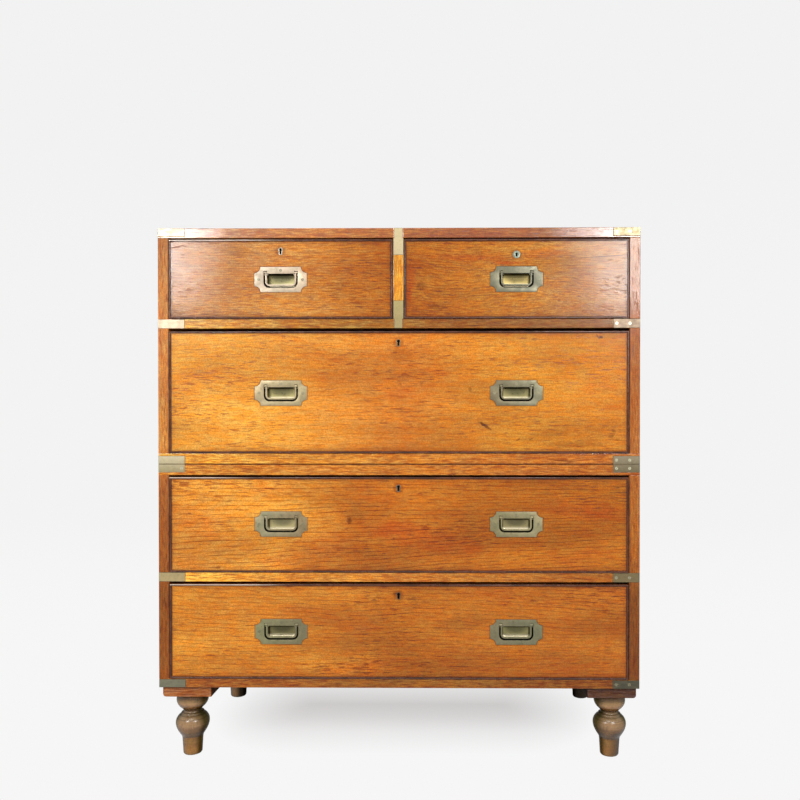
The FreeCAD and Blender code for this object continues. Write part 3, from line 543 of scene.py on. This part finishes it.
def brassMaterial(name, **given):
    # zones: the metal's colour at heights up the chest, with painted light and shade in it; patina and tarnish: the
    # glaze over it, and its share
    brass = dict(brassDefaults, **given)
    material, coords, atX, atY, atZ = newMaterial(name)
    colour = zoned(dict(X=atX, Z=atZ)[brass["zoneAxis"]], brass["zones"])
    clouds = noise(coords, brass["cloudScale"], 4, 0.62)
    specks = noise(coords, 900.0, 2, 0.7)
    patina = between(specks * 0.25 + clouds, 0.42, 0.86)
    colour = darker(patina * brass["patinaShare"], colour, (0.62, 0.7, 0.7))
    spots = between(noise(coords, 210.0, 3), 0.54, 0.74, 0.0, brass["tarnishShare"])
    colour = darker(spots, colour, (0.46, 0.4, 0.32))
    if "middle" in brass:  # a hand-hold's back: painted shade in the middle and top, a painted reflection along its lower edge, and painted shadow inside the bail's arms
        x, z = (number * mm for number in brass["middle"])
        across, up = (abs(atX) - x) / 0.024, (atZ - (z + 0.006)) / 0.012
        away = clouds * 0.8 + (across * across + up * up)
        # painted shade in the middle and towards the top
        colour = darker(between(away, 0.5, 1.9, 0.85, 0.0), colour, (0.34, 0.36, 0.42))
        # painted reflection: a pale band along the lower edge
        colour = blended(between(atZ, z - 0.0105, z - 0.005, 0.8, 0.0), colour, tone(244, 232, 196))
        # painted shadow: dark lines just inside the bail's arms
        beside = abs(abs(atX) - x)
        colour = darker(between(beside, 0.0254, 0.0268, 0.0, 0.9), colour, (0.12, 0.11, 0.09))
    if "shadedRight" in brass:
        foot = between(abs(atX), 0.02, 0.03, 1.0, 0.0) * between(atZ, 0.96, 1.0, 1.0, 0.0)
        colour = darker(foot, colour, (0.9, 0.95, 0.64))
        # painted shade: the straps darker towards the right
        colour = darker(between(atX, 0.1, 0.4) * brass["shadedRight"], colour, (0.38, 0.37, 0.38))
        # painted shade: the top-left corner darker, against the lamp's glare
        corner = between(atX, -0.4, -0.3, 1.0, 0.0) * between(atZ, 1.02, 1.08)
        colour = darker(corner, colour, (0.66, 0.62, 0.74))
    if "seam" in brass:
        colour = darker(between(abs(atZ - brass["seam"]), 0.0005, 0.0013, 0.9, 0.0), colour, (0.16, 0.14, 0.1))
    lightStreaks = noise(mapped(coords, turn=(0, 24, 0), scale=(60, 60, 900)), 1.0)
    colour = blended(between(lightStreaks, 0.6, 0.72, 0.0, 0.22), colour, tone(*brass["zones"][-1][1]))
    low, high = brass["roughness"]
    showSurface(colour, patina * (high - low) + low, brass["specular"], specks * 0.4 + clouds, brass["relief"], 0.0003,
                brass["metallic"])
    return material


metals = {name: brassMaterial(name, **brass) for name, brass in dict(
    strapBrass=dict(
        zones=[(0.15, (124, 122, 102)), (0.19, (134, 129, 106)), (0.38, (188, 166, 120)), (0.6, (153, 138, 99)),
               (0.64, (205, 189, 155)), (0.91, (167, 144, 121)), (1.1, (195, 177, 137))],
        shadedRight=0.9, roughness=(0.34, 0.48), metallic=0.82, seam=caseSplit),
    screwBrass=dict(zones=[(0.16, (138, 132, 106)), (0.62, (190, 184, 156)), (1.1, (212, 204, 178))],
                    patinaShare=0.4, roughness=(0.3, 0.44), metallic=0.9, cloudScale=200.0),
    plateScrewBrass=dict(
        zones=[(0.26, (122, 117, 92)), (0.5, (132, 126, 100)), (0.77, (140, 132, 106)), (1.02, (112, 108, 92))],
        patinaShare=0.3, roughness=(0.34, 0.44), cloudScale=200.0),
    rimBrass=dict(zones=[(0.2, (84, 72, 50)), (1.1, (122, 104, 74))], roughness=(0.45, 0.6), metallic=0.5),
    # painted shade: near-black brass for the recesses, gaps and undersides of the handles and locks
    paintedShadeBrass=dict(zones=[(0.2, (18, 16, 9)), (1.1, (22, 19, 11))], patinaShare=0.4, roughness=(0.8, 0.9),
                    metallic=0.0, specular=0.08),
    boltSteel=dict(zones=[(0.3, (52, 49, 44)), (1.1, (58, 55, 50))], patinaShare=0.6, tarnishShare=0.6,
                   roughness=(0.5, 0.65), metallic=0.7),
).items()}
bead = beadWood("beadWood")
turnedWood = footWood("turnedWood")
print("finishes ready")


# Mesh helpers

def addPiece(name, bm, materials, body, replaced=(), sharp=35):
    mesh = tidyMesh(bm, name)
    for material in materials:
        mesh.materials.append(material)
    mesh.polygons.foreach_set("use_smooth", [bool(sharp)] * len(mesh.polygons))
    if sharp:
        mesh.set_sharp_from_angle(angle=math.radians(sharp))
    piece = addObject(name, mesh)
    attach(piece, body)
    if replaced:
        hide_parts(*replaced)
    return piece


def solidOf(nodeName):
    bm = bmesh.new()
    bm.from_mesh(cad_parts[nodeName].data)
    bmesh.ops.remove_doubles(bm, verts=bm.verts, dist=1e-6)
    bmesh.ops.dissolve_limit(bm, angle_limit=math.radians(0.5), verts=bm.verts, edges=bm.edges)
    return bm


def eased(nodeName, body, material, ease, rim=None):
    # A sawn or cast part with its sharp edges eased by that many millimetres; its faces stay flat
    piece = addPiece(nodeName + "_finished", solidOf(nodeName), [material, rim] if rim else [material], body,
                     [nodeName], sharp=0)
    if not ease:
        return
    soften = piece.modifiers.new("easedEdges", "BEVEL")
    soften.width = ease * mm
    soften.segments = 3
    soften.limit_method = "ANGLE"
    soften.angle_limit = math.radians(35)
    if rim:
        soften.material = 1  # dirt lies along the edges


def repaint(nodeName, material):  # a part of the frame that keeps its own mesh
    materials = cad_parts[nodeName].data.materials
    materials.clear()
    materials.append(material)


def millimetres(**sizes):  # sizes in millimetres, kept in metres
    return {key: tuple(part * mm for part in size) if isinstance(size, tuple) else size * mm
            for key, size in sizes.items()}


def vertsOf(geometry):
    return [item for item in geometry if isinstance(item, bmesh.types.BMVert)]


def move(bm, verts, x=0.0, y=0.0, z=0.0):
    bmesh.ops.translate(bm, vec=(x, y, z), verts=verts)


def deepen(bm, faces, depth):  # sinks those faces into the solid
    sunk = bmesh.ops.extrude_discrete_faces(bm, faces=faces)["faces"]
    move(bm, list({vert for face in sunk for vert in face.verts}), y=depth)


def chain(bm, points):  # new points, joined one to the next
    verts = [bm.verts.new(point) for point in points]
    for near, far in zip(verts, verts[1:]):
        bm.edges.new((near, far))
    return verts


def bevel(bm, geometry, offset, segments=2, affect="EDGES"):
    bmesh.ops.bevel(bm, geom=geometry, offset=offset, offset_type="OFFSET", affect=affect, segments=segments,
                    profile=0.5, material=-1)


def makeSheet(bm, thickness, easing, segments):  # fills the outlines, gives them thickness and eases the front rims
    bmesh.ops.triangle_fill(bm, use_beauty=True, edges=bm.edges[:], normal=(0, -1, 0))
    back = bmesh.ops.extrude_face_region(bm, geom=bm.faces[:])["geom"]
    move(bm, vertsOf(back), y=thickness)
    faceOut(bm)
    rim = [edge for edge in bm.edges if edge.calc_face_angle(0) > 1 and
           max(abs(vert.co.y) for vert in edge.verts) < 1e-6]
    bevel(bm, rim, easing, segments)


def stepLoop(bm, edges, inset, back):  # extrudes a closed loop that faces the front: inwards, and back
    grown = bmesh.ops.extrude_edge_only(bm, edges=edges)["geom"]
    fresh = set(vertsOf(grown))
    xs = [vert.co.x for vert in fresh]
    zs = [vert.co.z for vert in fresh]
    centre = Vector(((min(xs) + max(xs)) / 2, 0, (min(zs) + max(zs)) / 2))
    spanX, spanZ = (max(xs) - min(xs)) / 2, (max(zs) - min(zs)) / 2
    bmesh.ops.scale(bm, vec=((spanX - inset) / spanX, 1, (spanZ - inset) / spanZ),
                    space=Matrix.Translation(-centre), verts=list(fresh))
    move(bm, list(fresh), y=back)
    return [edge for edge in grown if isinstance(edge, bmesh.types.BMEdge) and fresh.issuperset(edge.verts)]


def cornerArc(bm, start, centre, angle, steps=8):  # a point swept round a corner: the arc's points in order
    points = [bm.verts.new(start)]
    bmesh.ops.spin(bm, geom=points[:], cent=centre, axis=(0, 1, 0), angle=math.radians(angle), steps=steps,
                   use_merge=False, use_duplicate=False)
    while True:
        onward = [edge.other_vert(points[-1]) for edge in points[-1].link_edges]
        onward = [vert for vert in onward if vert not in points]
        if not onward:
            return points
        points.append(onward[0])


def joinUp(bm, runs):  # closes runs of points into one loop
    for run, following in zip(runs, runs[1:] + runs[:1]):
        bm.edges.new((run[-1], following[0]))


def addCopies(bm, template, matrices):
    for matrix in matrices:
        count = len(bm.verts)
        bm.from_mesh(template)
        bm.verts.ensure_lookup_table()
        bmesh.ops.transform(bm, matrix=matrix, verts=bm.verts[count:])
    return bm


def faceOut(bm):
    bmesh.ops.recalc_face_normals(bm, faces=bm.faces)


def quarterTurn(axis):
    return Matrix.Rotation(math.radians(90), 4, axis)


def cylinder(bm, segments, radius, depth, matrix, foot=1.0):  # foot: its other end's radius, as a share
    return bmesh.ops.create_cone(bm, cap_ends=True, segments=segments, radius1=radius * foot, radius2=radius,
                                 depth=depth, matrix=matrix)["verts"]


# Handles: everything is drawn round the plate's centre, then copied to each place

handle = millimetres(width=108, height=52, notch=12.5, thickness=2.5, easing=0.3,
                     panHalf=35.2, panTop=12, panFoot=-17, panCorner=11.5, panTopCorner=2.5, panDepth=12.4,
                     panLip=1.5, panDraft=0.2, panSweep=7.6, panWall=1.2,
                     slotInner=28.0, slotOuter=35.2, slotTop=17.4, slotFoot=9,
                     ear=(13.6, 5.6, 10.4), earPlace=(32.8, 5.4, 15.0), earWall=1.8, earDepth=4)

bailShape = millimetres(half=30.2, foot=-11.8, corner=7.2, barWide=3.9, barDeep=4.2, barMiddle=2.5, barCorner=0.9,
                        pivotHeight=14.3, pivotDepth=2.6, overlap=0.5, knuckle=2.9, knuckleWide=6.8,
                        knuckleMiddle=31.6, knuckleRim=0.7, pin=1.4, pinReach=3.4, pinOverlap=0.2)

screwShape = millimetres(head=3.1, depth=1.6, slot=0.36, slotDeep=0.7)

handleX = 242.0  # from the chest's middle
handlePlaces = {  # drawer: handle centres as x and height, body suffixes
    "top_left_drawer": [(-handleX, 1000.6, "")], "top_right_drawer": [(handleX, 1000.6, "")],
    "deep_drawer": [(-handleX, 767.6, "_left"), (handleX, 767.6, "_right")],
    "middle_drawer": [(-handleX, 498.0, "_left"), (handleX, 498.0, "_right")],
    "bottom_drawer": [(-handleX, 276.05, "_left"), (handleX, 276.05, "_right")],
}
plateEnds = (-0.285, -0.205, 0.205, 0.285)
handleBrass = {  # the colours at both ends of the left and of the right plate, then the hand-holds' backs; they hold painted light and shade as well as the brass's tone
    "top_left_drawer": ((176, 159, 139), (184, 163, 139), (180, 160, 139), (180, 160, 139),
                        (134, 125, 86), (134, 125, 86)),
    "top_right_drawer": ((113, 108, 87), (113, 108, 87), (111, 106, 86), (121, 117, 99),
                         (172, 151, 94), (172, 151, 94)),
    "deep_drawer": ((173, 155, 121), (162, 146, 111), (119, 108, 84), (131, 125, 101),
                    (167, 155, 105), (155, 144, 98)),
    "middle_drawer": ((161, 151, 118), (149, 130, 98), (140, 130, 96), (158, 147, 112),
                      (192, 177, 126), (158, 145, 102)),
    "bottom_drawer": ((147, 141, 104), (135, 125, 95), (134, 125, 97), (129, 125, 97),
                      (130, 121, 82), (150, 141, 95)),
}


def makePlate():
    bm = bmesh.new()
    x, z, r = handle["width"] / 2, handle["height"] / 2, handle["notch"]
    runs = []
    for sx, sz in ((-1, -1), (1, -1), (1, 1), (-1, 1)):
        corner = Vector((sx * x, 0, sz * z))
        away = (0, 0, -sz * r) if sx == sz else (-sx * r, 0, 0)
        runs.append(cornerArc(bm, corner + Vector(away), corner, 90))
    joinUp(bm, runs)

    # The hand-hold's mouth, with a slot at each upper corner for the bail's knuckle
    x, top, foot, r = (handle[part] for part in ("panHalf", "panTop", "panFoot", "panCorner"))
    inner, outer, high, low = (handle["slot" + part] for part in ("Inner", "Outer", "Top", "Foot"))
    right = cornerArc(bm, (x - r, 0, foot), (x - r, 0, foot + r), -90)
    head = chain(bm, [(px, 0, pz) for px, pz in ((outer, low), (outer, high), (inner, high), (inner, top),
                                                 (-inner, top), (-inner, high), (-outer, high), (-outer, low))])
    left = cornerArc(bm, (-x, 0, foot + r), (r - x, 0, foot + r), -90)
    joinUp(bm, [right, head, left])
    makeSheet(bm, handle["thickness"], handle["easing"], 3)
    for face in bm.faces:  # painted shade: the opening's wall is as dark as the hollow's
        centre = face.calc_center_median()
        if abs(face.normal.y) < 0.1 and abs(centre.x) < outer + mm and abs(centre.z) < high + mm:
            face.material_index = 2
    return bm


def makePan():
    bm = bmesh.new()
    x, top, foot, r = (handle[part] for part in ("panHalf", "panTop", "panFoot", "panCorner"))
    small, lip, sweep = handle["panTopCorner"], handle["panLip"], handle["panSweep"]
    joinUp(bm, [cornerArc(bm, (x - r, 0, foot), (x - r, 0, foot + r), -90),
                cornerArc(bm, (x, 0, top - small), (x - small, 0, top - small), -90, steps=4),
                cornerArc(bm, (small - x, 0, top), (small - x, 0, top - small), -90, steps=4),
                cornerArc(bm, (-x, 0, foot + r), (r - x, 0, foot + r), -90)])
    move(bm, bm.verts, y=lip)
    loop = stepLoop(bm, bm.edges[:], handle["panDraft"], handle["panDepth"] - sweep - lip)
    turned = 0
    steps, shadedSteps = 8, 5  # painted shade lies where the bail hides the wall
    for step in range(1, steps + 1):
        angle = math.pi / 2 * step / steps
        inset = sweep * (1 - math.cos(angle))
        loop = stepLoop(bm, loop, inset - turned, sweep * (math.sin(angle) - math.sin(angle - math.pi / 2 / steps)))
        turned = inset
        if step == shadedSteps:
            wall = len(bm.faces)
    bmesh.ops.contextual_create(bm, geom=loop)
    faceOut(bm)
    if not any(face.normal.y < -0.9 for face in bm.faces):  # an open shell may come out inside out
        bmesh.ops.reverse_faces(bm, faces=bm.faces)
    bm.faces.ensure_lookup_table()
    for face in bm.faces[:wall]:
        overhead = face.normal.z < -0.6 and face.calc_center_median().y > 4 * mm
        face.material_index = 0 if overhead else 1
    bmesh.ops.solidify(bm, geom=bm.faces[:], thickness=handle["panWall"])
    return bm


def makeEar(side):
    # The lug behind the plate, hollowed for the knuckle
    bm = bmesh.new()
    bmesh.ops.create_cube(bm, size=1)
    bmesh.ops.scale(bm, vec=handle["ear"], verts=bm.verts)
    x, y, z = handle["earPlace"]
    move(bm, bm.verts, side * x, y, z)
    mouth = [face for face in bm.faces if face.normal.y < -0.9]
    bmesh.ops.inset_region(bm, faces=mouth, thickness=handle["earWall"])
    deepen(bm, mouth, handle["earDepth"])
    return bm


def makeBail():
    shape = bailShape
    half, corner, overlap, pivot = (shape[part] for part in ("half", "corner", "overlap", "pivotHeight"))
    bm = bmesh.new()
    bmesh.ops.create_grid(bm, x_segments=1, y_segments=1, size=0.5)
    bmesh.ops.scale(bm, vec=(shape["barWide"], shape["barDeep"], 1), verts=bm.verts)
    bevel(bm, bm.verts[:], shape["barCorner"], 3, "VERTICES")
    move(bm, bm.verts, -half, shape["barMiddle"], pivot + overlap)
    end = bm.faces[:]
    bend = shape["foot"] + corner
    drop = bend - pivot - overlap
    for dx, dz, turnX in ((0, drop, corner - half), (2 * (half - corner), 0, half - corner), (0, -drop, None)):
        grown = bmesh.ops.extrude_face_region(bm, geom=end)["geom"]
        move(bm, vertsOf(grown), dx, 0, dz)
        end = [item for item in grown if isinstance(item, bmesh.types.BMFace)]
        if turnX is not None:
            grown = bmesh.ops.spin(bm, geom=end, cent=(turnX, 0, bend), axis=(0, 1, 0), angle=math.radians(-90),
                                   steps=9, use_merge=False, use_duplicate=False)["geom_last"]
            end = [item for item in grown if isinstance(item, bmesh.types.BMFace)]
    for side in (-1, 1):
        middle = Matrix.Translation((side * shape["knuckleMiddle"], shape["pivotDepth"], pivot))
        barrel = cylinder(bm, 28, shape["knuckle"], shape["knuckleWide"], middle @ quarterTurn("Y"))
        rims = {edge: True for vert in barrel for edge in vert.link_edges
                if len(edge.link_faces) == 2 and edge.calc_face_angle() > 1}
        bevel(bm, list(rims), shape["knuckleRim"])
        out = side * ((shape["knuckleWide"] + shape["pinReach"]) / 2 - shape["pinOverlap"])
        cylinder(bm, 16, shape["pin"], shape["pinReach"], Matrix.Translation((out, 0, 0)) @ middle @ quarterTurn("Y"))
    faceOut(bm)
    for face in bm.faces:  # painted shade on the undersides and the outer sides
        centre = face.calc_center_median()
        if face.normal.z < -0.6 or (abs(face.normal.x) > 0.6 and face.normal.x * centre.x > 0):
            face.material_index = 1
    return bm


def makeScrew():
    # Countersunk head, flush, its slot along X; the head faces the front
    head, depth, slot = screwShape["head"], screwShape["depth"], screwShape["slot"]
    bm = bmesh.new()
    cylinder(bm, 24, head, depth, Matrix.Translation((0, depth / 2, 0)) @ quarterTurn("X"), foot=0.6)
    for offset in (-slot, slot):
        bmesh.ops.bisect_plane(bm, geom=bm.verts[:] + bm.edges[:] + bm.faces[:], dist=1e-7,
                               plane_co=(0, 0, offset), plane_no=(0, 0, 1))
    centres = {face: face.calc_center_median() for face in bm.faces}
    deepen(bm, [face for face, centre in centres.items() if centre.y < 1e-6 and abs(centre.z) < slot / 2],
           screwShape["slotDeep"])
    faceOut(bm)
    return bm


plateMesh, panMesh, bailMesh, screwMesh = templates = [
    tidyMesh(make(), "template") for make in (makePlate, makePan, makeBail, makeScrew)]
earMeshes = [tidyMesh(makeEar(side), "template") for side in (-1, 1)]


def onFront(x, z):
    return Matrix.Translation((x * mm, faceY, z * mm))


for name, places in handlePlaces.items():
    spots = [onFront(x, z) for x, z, suffix in places]
    cast = bmesh.new()
    for template in [plateMesh] + earMeshes:
        addCopies(cast, template, spots)
    count = len(cast.faces)
    addCopies(cast, panMesh, spots)
    cast.faces.ensure_lookup_table()
    for face in cast.faces[count:]:
        face.material_index += 1  # the hollow's own brass, then its painted shade
    plateBrass = brassMaterial(
        name + "_plateBrass", zoneAxis="X", zones=list(zip(plateEnds, handleBrass[name])), patinaShare=0.7,
        tarnishShare=0.4, roughness=(0.42, 0.55), metallic=0.8, relief=0.08)
    panBrass = brassMaterial(
        name + "_panBrass", zoneAxis="X", zones=list(zip((-0.2, 0.2), handleBrass[name][4:])),
        middle=(handleX, places[0][1]), patinaShare=0.4, tarnishShare=0.25, roughness=(0.26, 0.4), metallic=0.95,
        cloudScale=120.0, relief=0.1)
    addPiece(name + "_cast_plates", cast, [plateBrass, panBrass, metals["paintedShadeBrass"]], name,
             [name + "_handle_plates"])
    for (x, z, suffix), spot in zip(places, spots):
        bail = name + "_bail" + suffix
        addPiece(bail + "_cast", addCopies(bmesh.new(), bailMesh, [spot]), [plateBrass, metals["paintedShadeBrass"]], bail,
                 [bail])
print("handles ready")


# Locks: a brass-lined keyhole, or a round plate on the top right drawer, and the lock case behind

keyShape = millimetres(head=2.9, slotHalf=1.9, rise=2.4, foot=-6.7, border=1.8, depth=3, roundPlate=7.9, easing=0.3)
keyholes = dict(top_left_drawer=(-handleX, 1059.3), top_right_drawer=(handleX, 1051.0), deep_drawer=(0, 871.2),
                middle_drawer=(0, 572.7), bottom_drawer=(0, 351.2))
lockBrass = {  # the keyholes' linings
    "top_left_drawer": (176, 166, 150), "top_right_drawer": (120, 126, 112), "deep_drawer": (128, 108, 78),
    "middle_drawer": (112, 106, 92), "bottom_drawer": (104, 82, 60)}


def keyholeOutline(bm, grow):
    r, w = keyShape["head"] + grow, keyShape["slotHalf"] + grow
    rise, low = keyShape["rise"], keyShape["foot"] - grow
    tilt = math.asin(w / r)
    head = cornerArc(bm, (w, 0, rise - r * math.cos(tilt)), (0, 0, rise), -(360 - 2 * math.degrees(tilt)), steps=24)
    joinUp(bm, [head, chain(bm, [(-w, 0, low), (w, 0, low)])])


def makeEscutcheon(roundPlate):
    bm = bmesh.new()
    keyholeOutline(bm, 0)
    if roundPlate:  # its key is smaller
        bmesh.ops.scale(bm, vec=(0.76, 1, 0.62), verts=bm.verts)
        bmesh.ops.create_circle(bm, segments=48, radius=keyShape["roundPlate"], matrix=quarterTurn("X"))
    else:
        keyholeOutline(bm, keyShape["border"])
    makeSheet(bm, keyShape["depth"], keyShape["easing"], 2)
    for face in bm.faces:
        centre = face.calc_center_median()
        outward = face.normal.x * centre.x + face.normal.z * (centre.z + 1 * mm)
        if abs(face.normal.y) < 0.3 and outward < 0:
            face.material_index = 1  # the hole's wall, in painted shade
    return bm


for name, (x, z) in keyholes.items():
    bm = solidOf(name + "_lock")
    bmesh.ops.delete(bm, geom=[vert for vert in bm.verts if vert.co.y < faceY + 5 * mm], context="VERTS")
    for face in bm.faces:  # painted shade: the case's front, which shows through the keyhole, is black
        face.material_index = 1 if face.normal.y < -0.5 else 0
    lining = makeEscutcheon(name == "top_right_drawer")
    bmesh.ops.transform(lining, matrix=onFront(x, z), verts=lining.verts)
    bm.from_mesh(tidyMesh(lining, "lining"))
    brass = brassMaterial(name + "_lockBrass", zones=[(0.2, lockBrass[name]), (1.1, lockBrass[name])],
                          patinaShare=0.6, tarnishShare=0.5, roughness=(0.36, 0.5), metallic=0.8)
    addPiece(name + "_lockwork", bm, [brass, metals["paintedShadeBrass"]], name, [name + "_lock"])
    # the bolt's steel is dark: its own tone and partly painted shade, so the keyhole stays dark
    repaint(name + "_bolt", metals["boltSteel"])
print("locks ready")


# Cockbeads: a half-round nose, mitred at the corners

beadShape = dict(width=3.5 * mm, steps=8)


def makeBead(name):
    low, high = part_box(name + "_cockbead")
    radius, steps = beadShape["width"] / 2, beadShape["steps"]
    bm = bmesh.new()
    bmesh.ops.create_grid(bm, x_segments=1, y_segments=1, size=0.5, matrix=quarterTurn("X"))
    bmesh.ops.delete(bm, geom=bm.faces[:], context="FACES_ONLY")
    bmesh.ops.scale(bm, vec=(high.x - low.x, 1, high.z - low.z), verts=bm.verts)
    middle = (low + high) / 2
    move(bm, bm.verts, middle.x, high.y, middle.z)
    first = bm.edges[:]
    loop = stepLoop(bm, first, 0, low.y + radius - high.y)
    for step in range(steps):
        now, after = (math.pi * part / steps for part in (step, step + 1))
        loop = stepLoop(bm, loop, radius * (math.cos(now) - math.cos(after)),
                        radius * (math.sin(now) - math.sin(after)))
    loop = stepLoop(bm, loop, 0, high.y - low.y - radius)
    bmesh.ops.bridge_loops(bm, edges=first + loop)
    faceOut(bm)
    addPiece(name + "_bead", bm, [bead], name, [name + "_cockbead"])


for name in drawerNames:
    makeBead(name)
print("cockbeads ready")


# Feet, turned from one profile: radius and height in millimetres

footShape = dict(inset=(48.5, 60.0), segments=64, profile=[
    (0, 0), (16.4, 0), (18.2, 0.8), (19.4, 2.6), (19.8, 6), (20.0, 12), (20.5, 20), (21.0, 28), (21.4, 34),
    (21.9, 37.4), (22.8, 40.0), (24.4, 42.6), (26.8, 46.2), (29.2, 50.0), (31.4, 54.2), (33.2, 58.8), (34.4, 63.4),
    (34.8, 67.6), (34.4, 72.2), (33.1, 76.4), (30.8, 80.2), (27.8, 83.4), (24.8, 85.8), (23.6, 86.8), (23.7, 87.4),
    (23.2, 88.7), (21.6, 89.7), (19.9, 90.6), (18.9, 92.4), (18.9, 94.4), (20.1, 96.4), (23.2, 99.4), (27.1, 103.2),
    (30.2, 107.4), (32.2, 112.0), (33.0, 116.6), (32.8, 121.4), (31.4, 126.4), (29.2, 131.0), (27.2, 134.8),
    (26.8, 137.5), (0, 137.5)])


def makeFeet():
    bm = bmesh.new()
    chain(bm, [(radius * mm, 0, height * mm) for radius, height in footShape["profile"]])
    bmesh.ops.spin(bm, geom=bm.verts[:] + bm.edges[:], cent=(0, 0, 0), axis=(0, 0, 1), angle=math.radians(360),
                   steps=footShape["segments"], use_merge=True, use_duplicate=False)
    bmesh.ops.remove_doubles(bm, verts=bm.verts, dist=1e-6)
    faceOut(bm)
    turned = tidyMesh(bm, "footTemplate")
    insetX, insetY = (distance * mm for distance in footShape["inset"])
    spots = [Matrix.Translation((side * (halfWidth - insetX), y, 0)) @ Matrix.Rotation(turn, 4, "Z")
             for side, y, turn in ((-1, faceY + insetY, 0.4), (1, faceY + insetY, 2.2),
                                   (-1, backY - insetY, 3.6), (1, backY - insetY, 5.1))]
    addPiece("turned_feet", addCopies(bmesh.new(), turned, spots), [turnedWood], "lower_case", ["feet"],
             sharp=50)


makeFeet()
print("feet ready")


# Boards, drawer fronts and straps: the joiner's shapes with their edges eased

boards = [  # part, finish, how much its edges are eased
    ("lower_sides", "sideWood", 0.9), ("lower_top", "lowerTopWood", 1.0), ("lower_bottom", "bottomWood", 1.0),
    ("lower_rail", "lowerRailWood", 0.8), ("foot_blocks", "blockWood", 1.2), ("upper_sides", "sideWood", 0.9),
    ("upper_top", "topWood", 1.1), ("upper_bottom", "upperBottomWood", 1.0), ("upper_rail", "upperRailWood", 0.8),
    ("upper_partition", "stileWood", 0.7), ("lower_back", "backWood", 0.8), ("upper_back", "backWood", 0.8)]
frontEase, strapEase = 0.2, 0.6
for node, finish, ease in boards:
    case = "upper_case" if node.startswith("upper") else "lower_case"
    eased(node, case, caseWoods[finish], ease)
for case in ("lower", "upper"):
    eased(case + "_straps", case + "_case", metals["strapBrass"], strapEase, rim=metals["rimBrass"])
    repaint(case + "_runners", caseWoods["liningWood"])
for name in drawerNames:
    wood = dict(drawerWoods[name], edges=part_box(name + "_front"), plates=(handleX, handlePlaces[name][0][1]),
                keyhole=keyholes[name])
    eased(name + "_front", name, woodMaterial(name + "_wood", wood), frontEase)
    eased(name + "_frame", name, caseWoods["liningWood"], 0)  # left as sawn
    repaint(name + "_panel", caseWoods["liningWood"])
print("boards, fronts and straps ready")


# Screws: two in each leg of a strap and three in each plate, their slots at odd angles

strapScrews = dict(
    rows={"lower_case": [(168.5, True), (388.5, False), (613.0, True)],    # heights, and whether the back has them
          "upper_case": [(630.0, True), (910.0, False), (1097.5, True)]},
    legs=(21.0, 48.0),   # from the corner
    fromEdge=8.5, onTop=(45, 20), alongSide=45, overStile=28, onStile=(948, 921, 1064), lean=0.4 / 27, proud=0.12,
    pale=(-447, 613))
plateScrews = dict(places=((-45, 0), (45, 0), (0, 18.8)), size=0.92)
topZ = 1.106
upwards = Matrix.Rotation(math.radians(-90), 4, "X")


def screwAt(x, y, z, facing, size=1.0):
    # facing turns the head about the vertical, in degrees; None lays it on the top
    slant = math.radians((x * 37.7 + y * 11.3 + z * 23.9) * 1000 % 180)
    turn = upwards if facing is None else Matrix.Rotation(math.radians(facing), 4, "Z")
    return Matrix.Translation((x, y, z)) @ turn @ Matrix.Rotation(slant, 4, "Y") @ Matrix.Scale(size, 4)


sink = -strapScrews["proud"] * mm  # heads stand this little above the brass
for body, rows in strapScrews["rows"].items():
    spots = []
    for z, hasBack in rows:
        z *= mm
        for side in (-1, 1):
            for leg in strapScrews["legs"]:
                along = side * (halfWidth - leg * mm)
                outside = side * (halfWidth - sink)
                spots += [screwAt(along, faceY + sink, z, 0), screwAt(outside, faceY + leg * mm, z, 90 * side)]
                if hasBack:
                    spots += [screwAt(along, backY - sink, z, 180), screwAt(outside, backY - leg * mm, z, 90 * side)]
    if body == "upper_case":
        top = topZ - sink
        edge, inward = strapScrews["fromEdge"] * mm, strapScrews["alongSide"] * mm
        for side in (-1, 1):
            for near in (faceY + edge, backY - edge):
                spots += [screwAt(side * (halfWidth - leg * mm), near, top, None) for leg in strapScrews["onTop"]]
            spots += [screwAt(side * (halfWidth - edge), near, top, None) for near in (faceY + inward, backY - inward)]
        spots.append(screwAt(0, faceY + strapScrews["overStile"] * mm, top, None))
        first = strapScrews["onStile"][0]
        spots += [screwAt(strapScrews["lean"] * (z - first) * mm, faceY + sink, z * mm, 0)
                  for z in strapScrews["onStile"]]
    heads = addCopies(bmesh.new(), screwMesh, spots)
    paleX, paleZ = (place * mm for place in strapScrews["pale"])
    for face in heads.faces:  # those on the left are as dull as their straps, but for one
        centre = face.calc_center_median()
        pale = centre.x > 0.2 or (abs(centre.x - paleX) < 0.006 and abs(centre.z - paleZ) < 0.006)
        face.material_index = 0 if pale else 1
    addPiece(body + "_screws", heads, [metals["screwBrass"], metals["strapBrass"]], body)

for name, places in handlePlaces.items():
    spots = [screwAt((x + dx) * mm, faceY + sink, (z + dz) * mm, 0, plateScrews["size"])
             for x, z, suffix in places for dx, dz in plateScrews["places"]]
    addPiece(name + "_plate_screws", addCopies(bmesh.new(), screwMesh, spots), [metals["plateScrewBrass"]], name)
print("screws ready")

for template in templates + earMeshes:
    bpy.data.meshes.remove(template)

settings = bpy.context.scene.view_settings
settings.view_transform = "Standard"
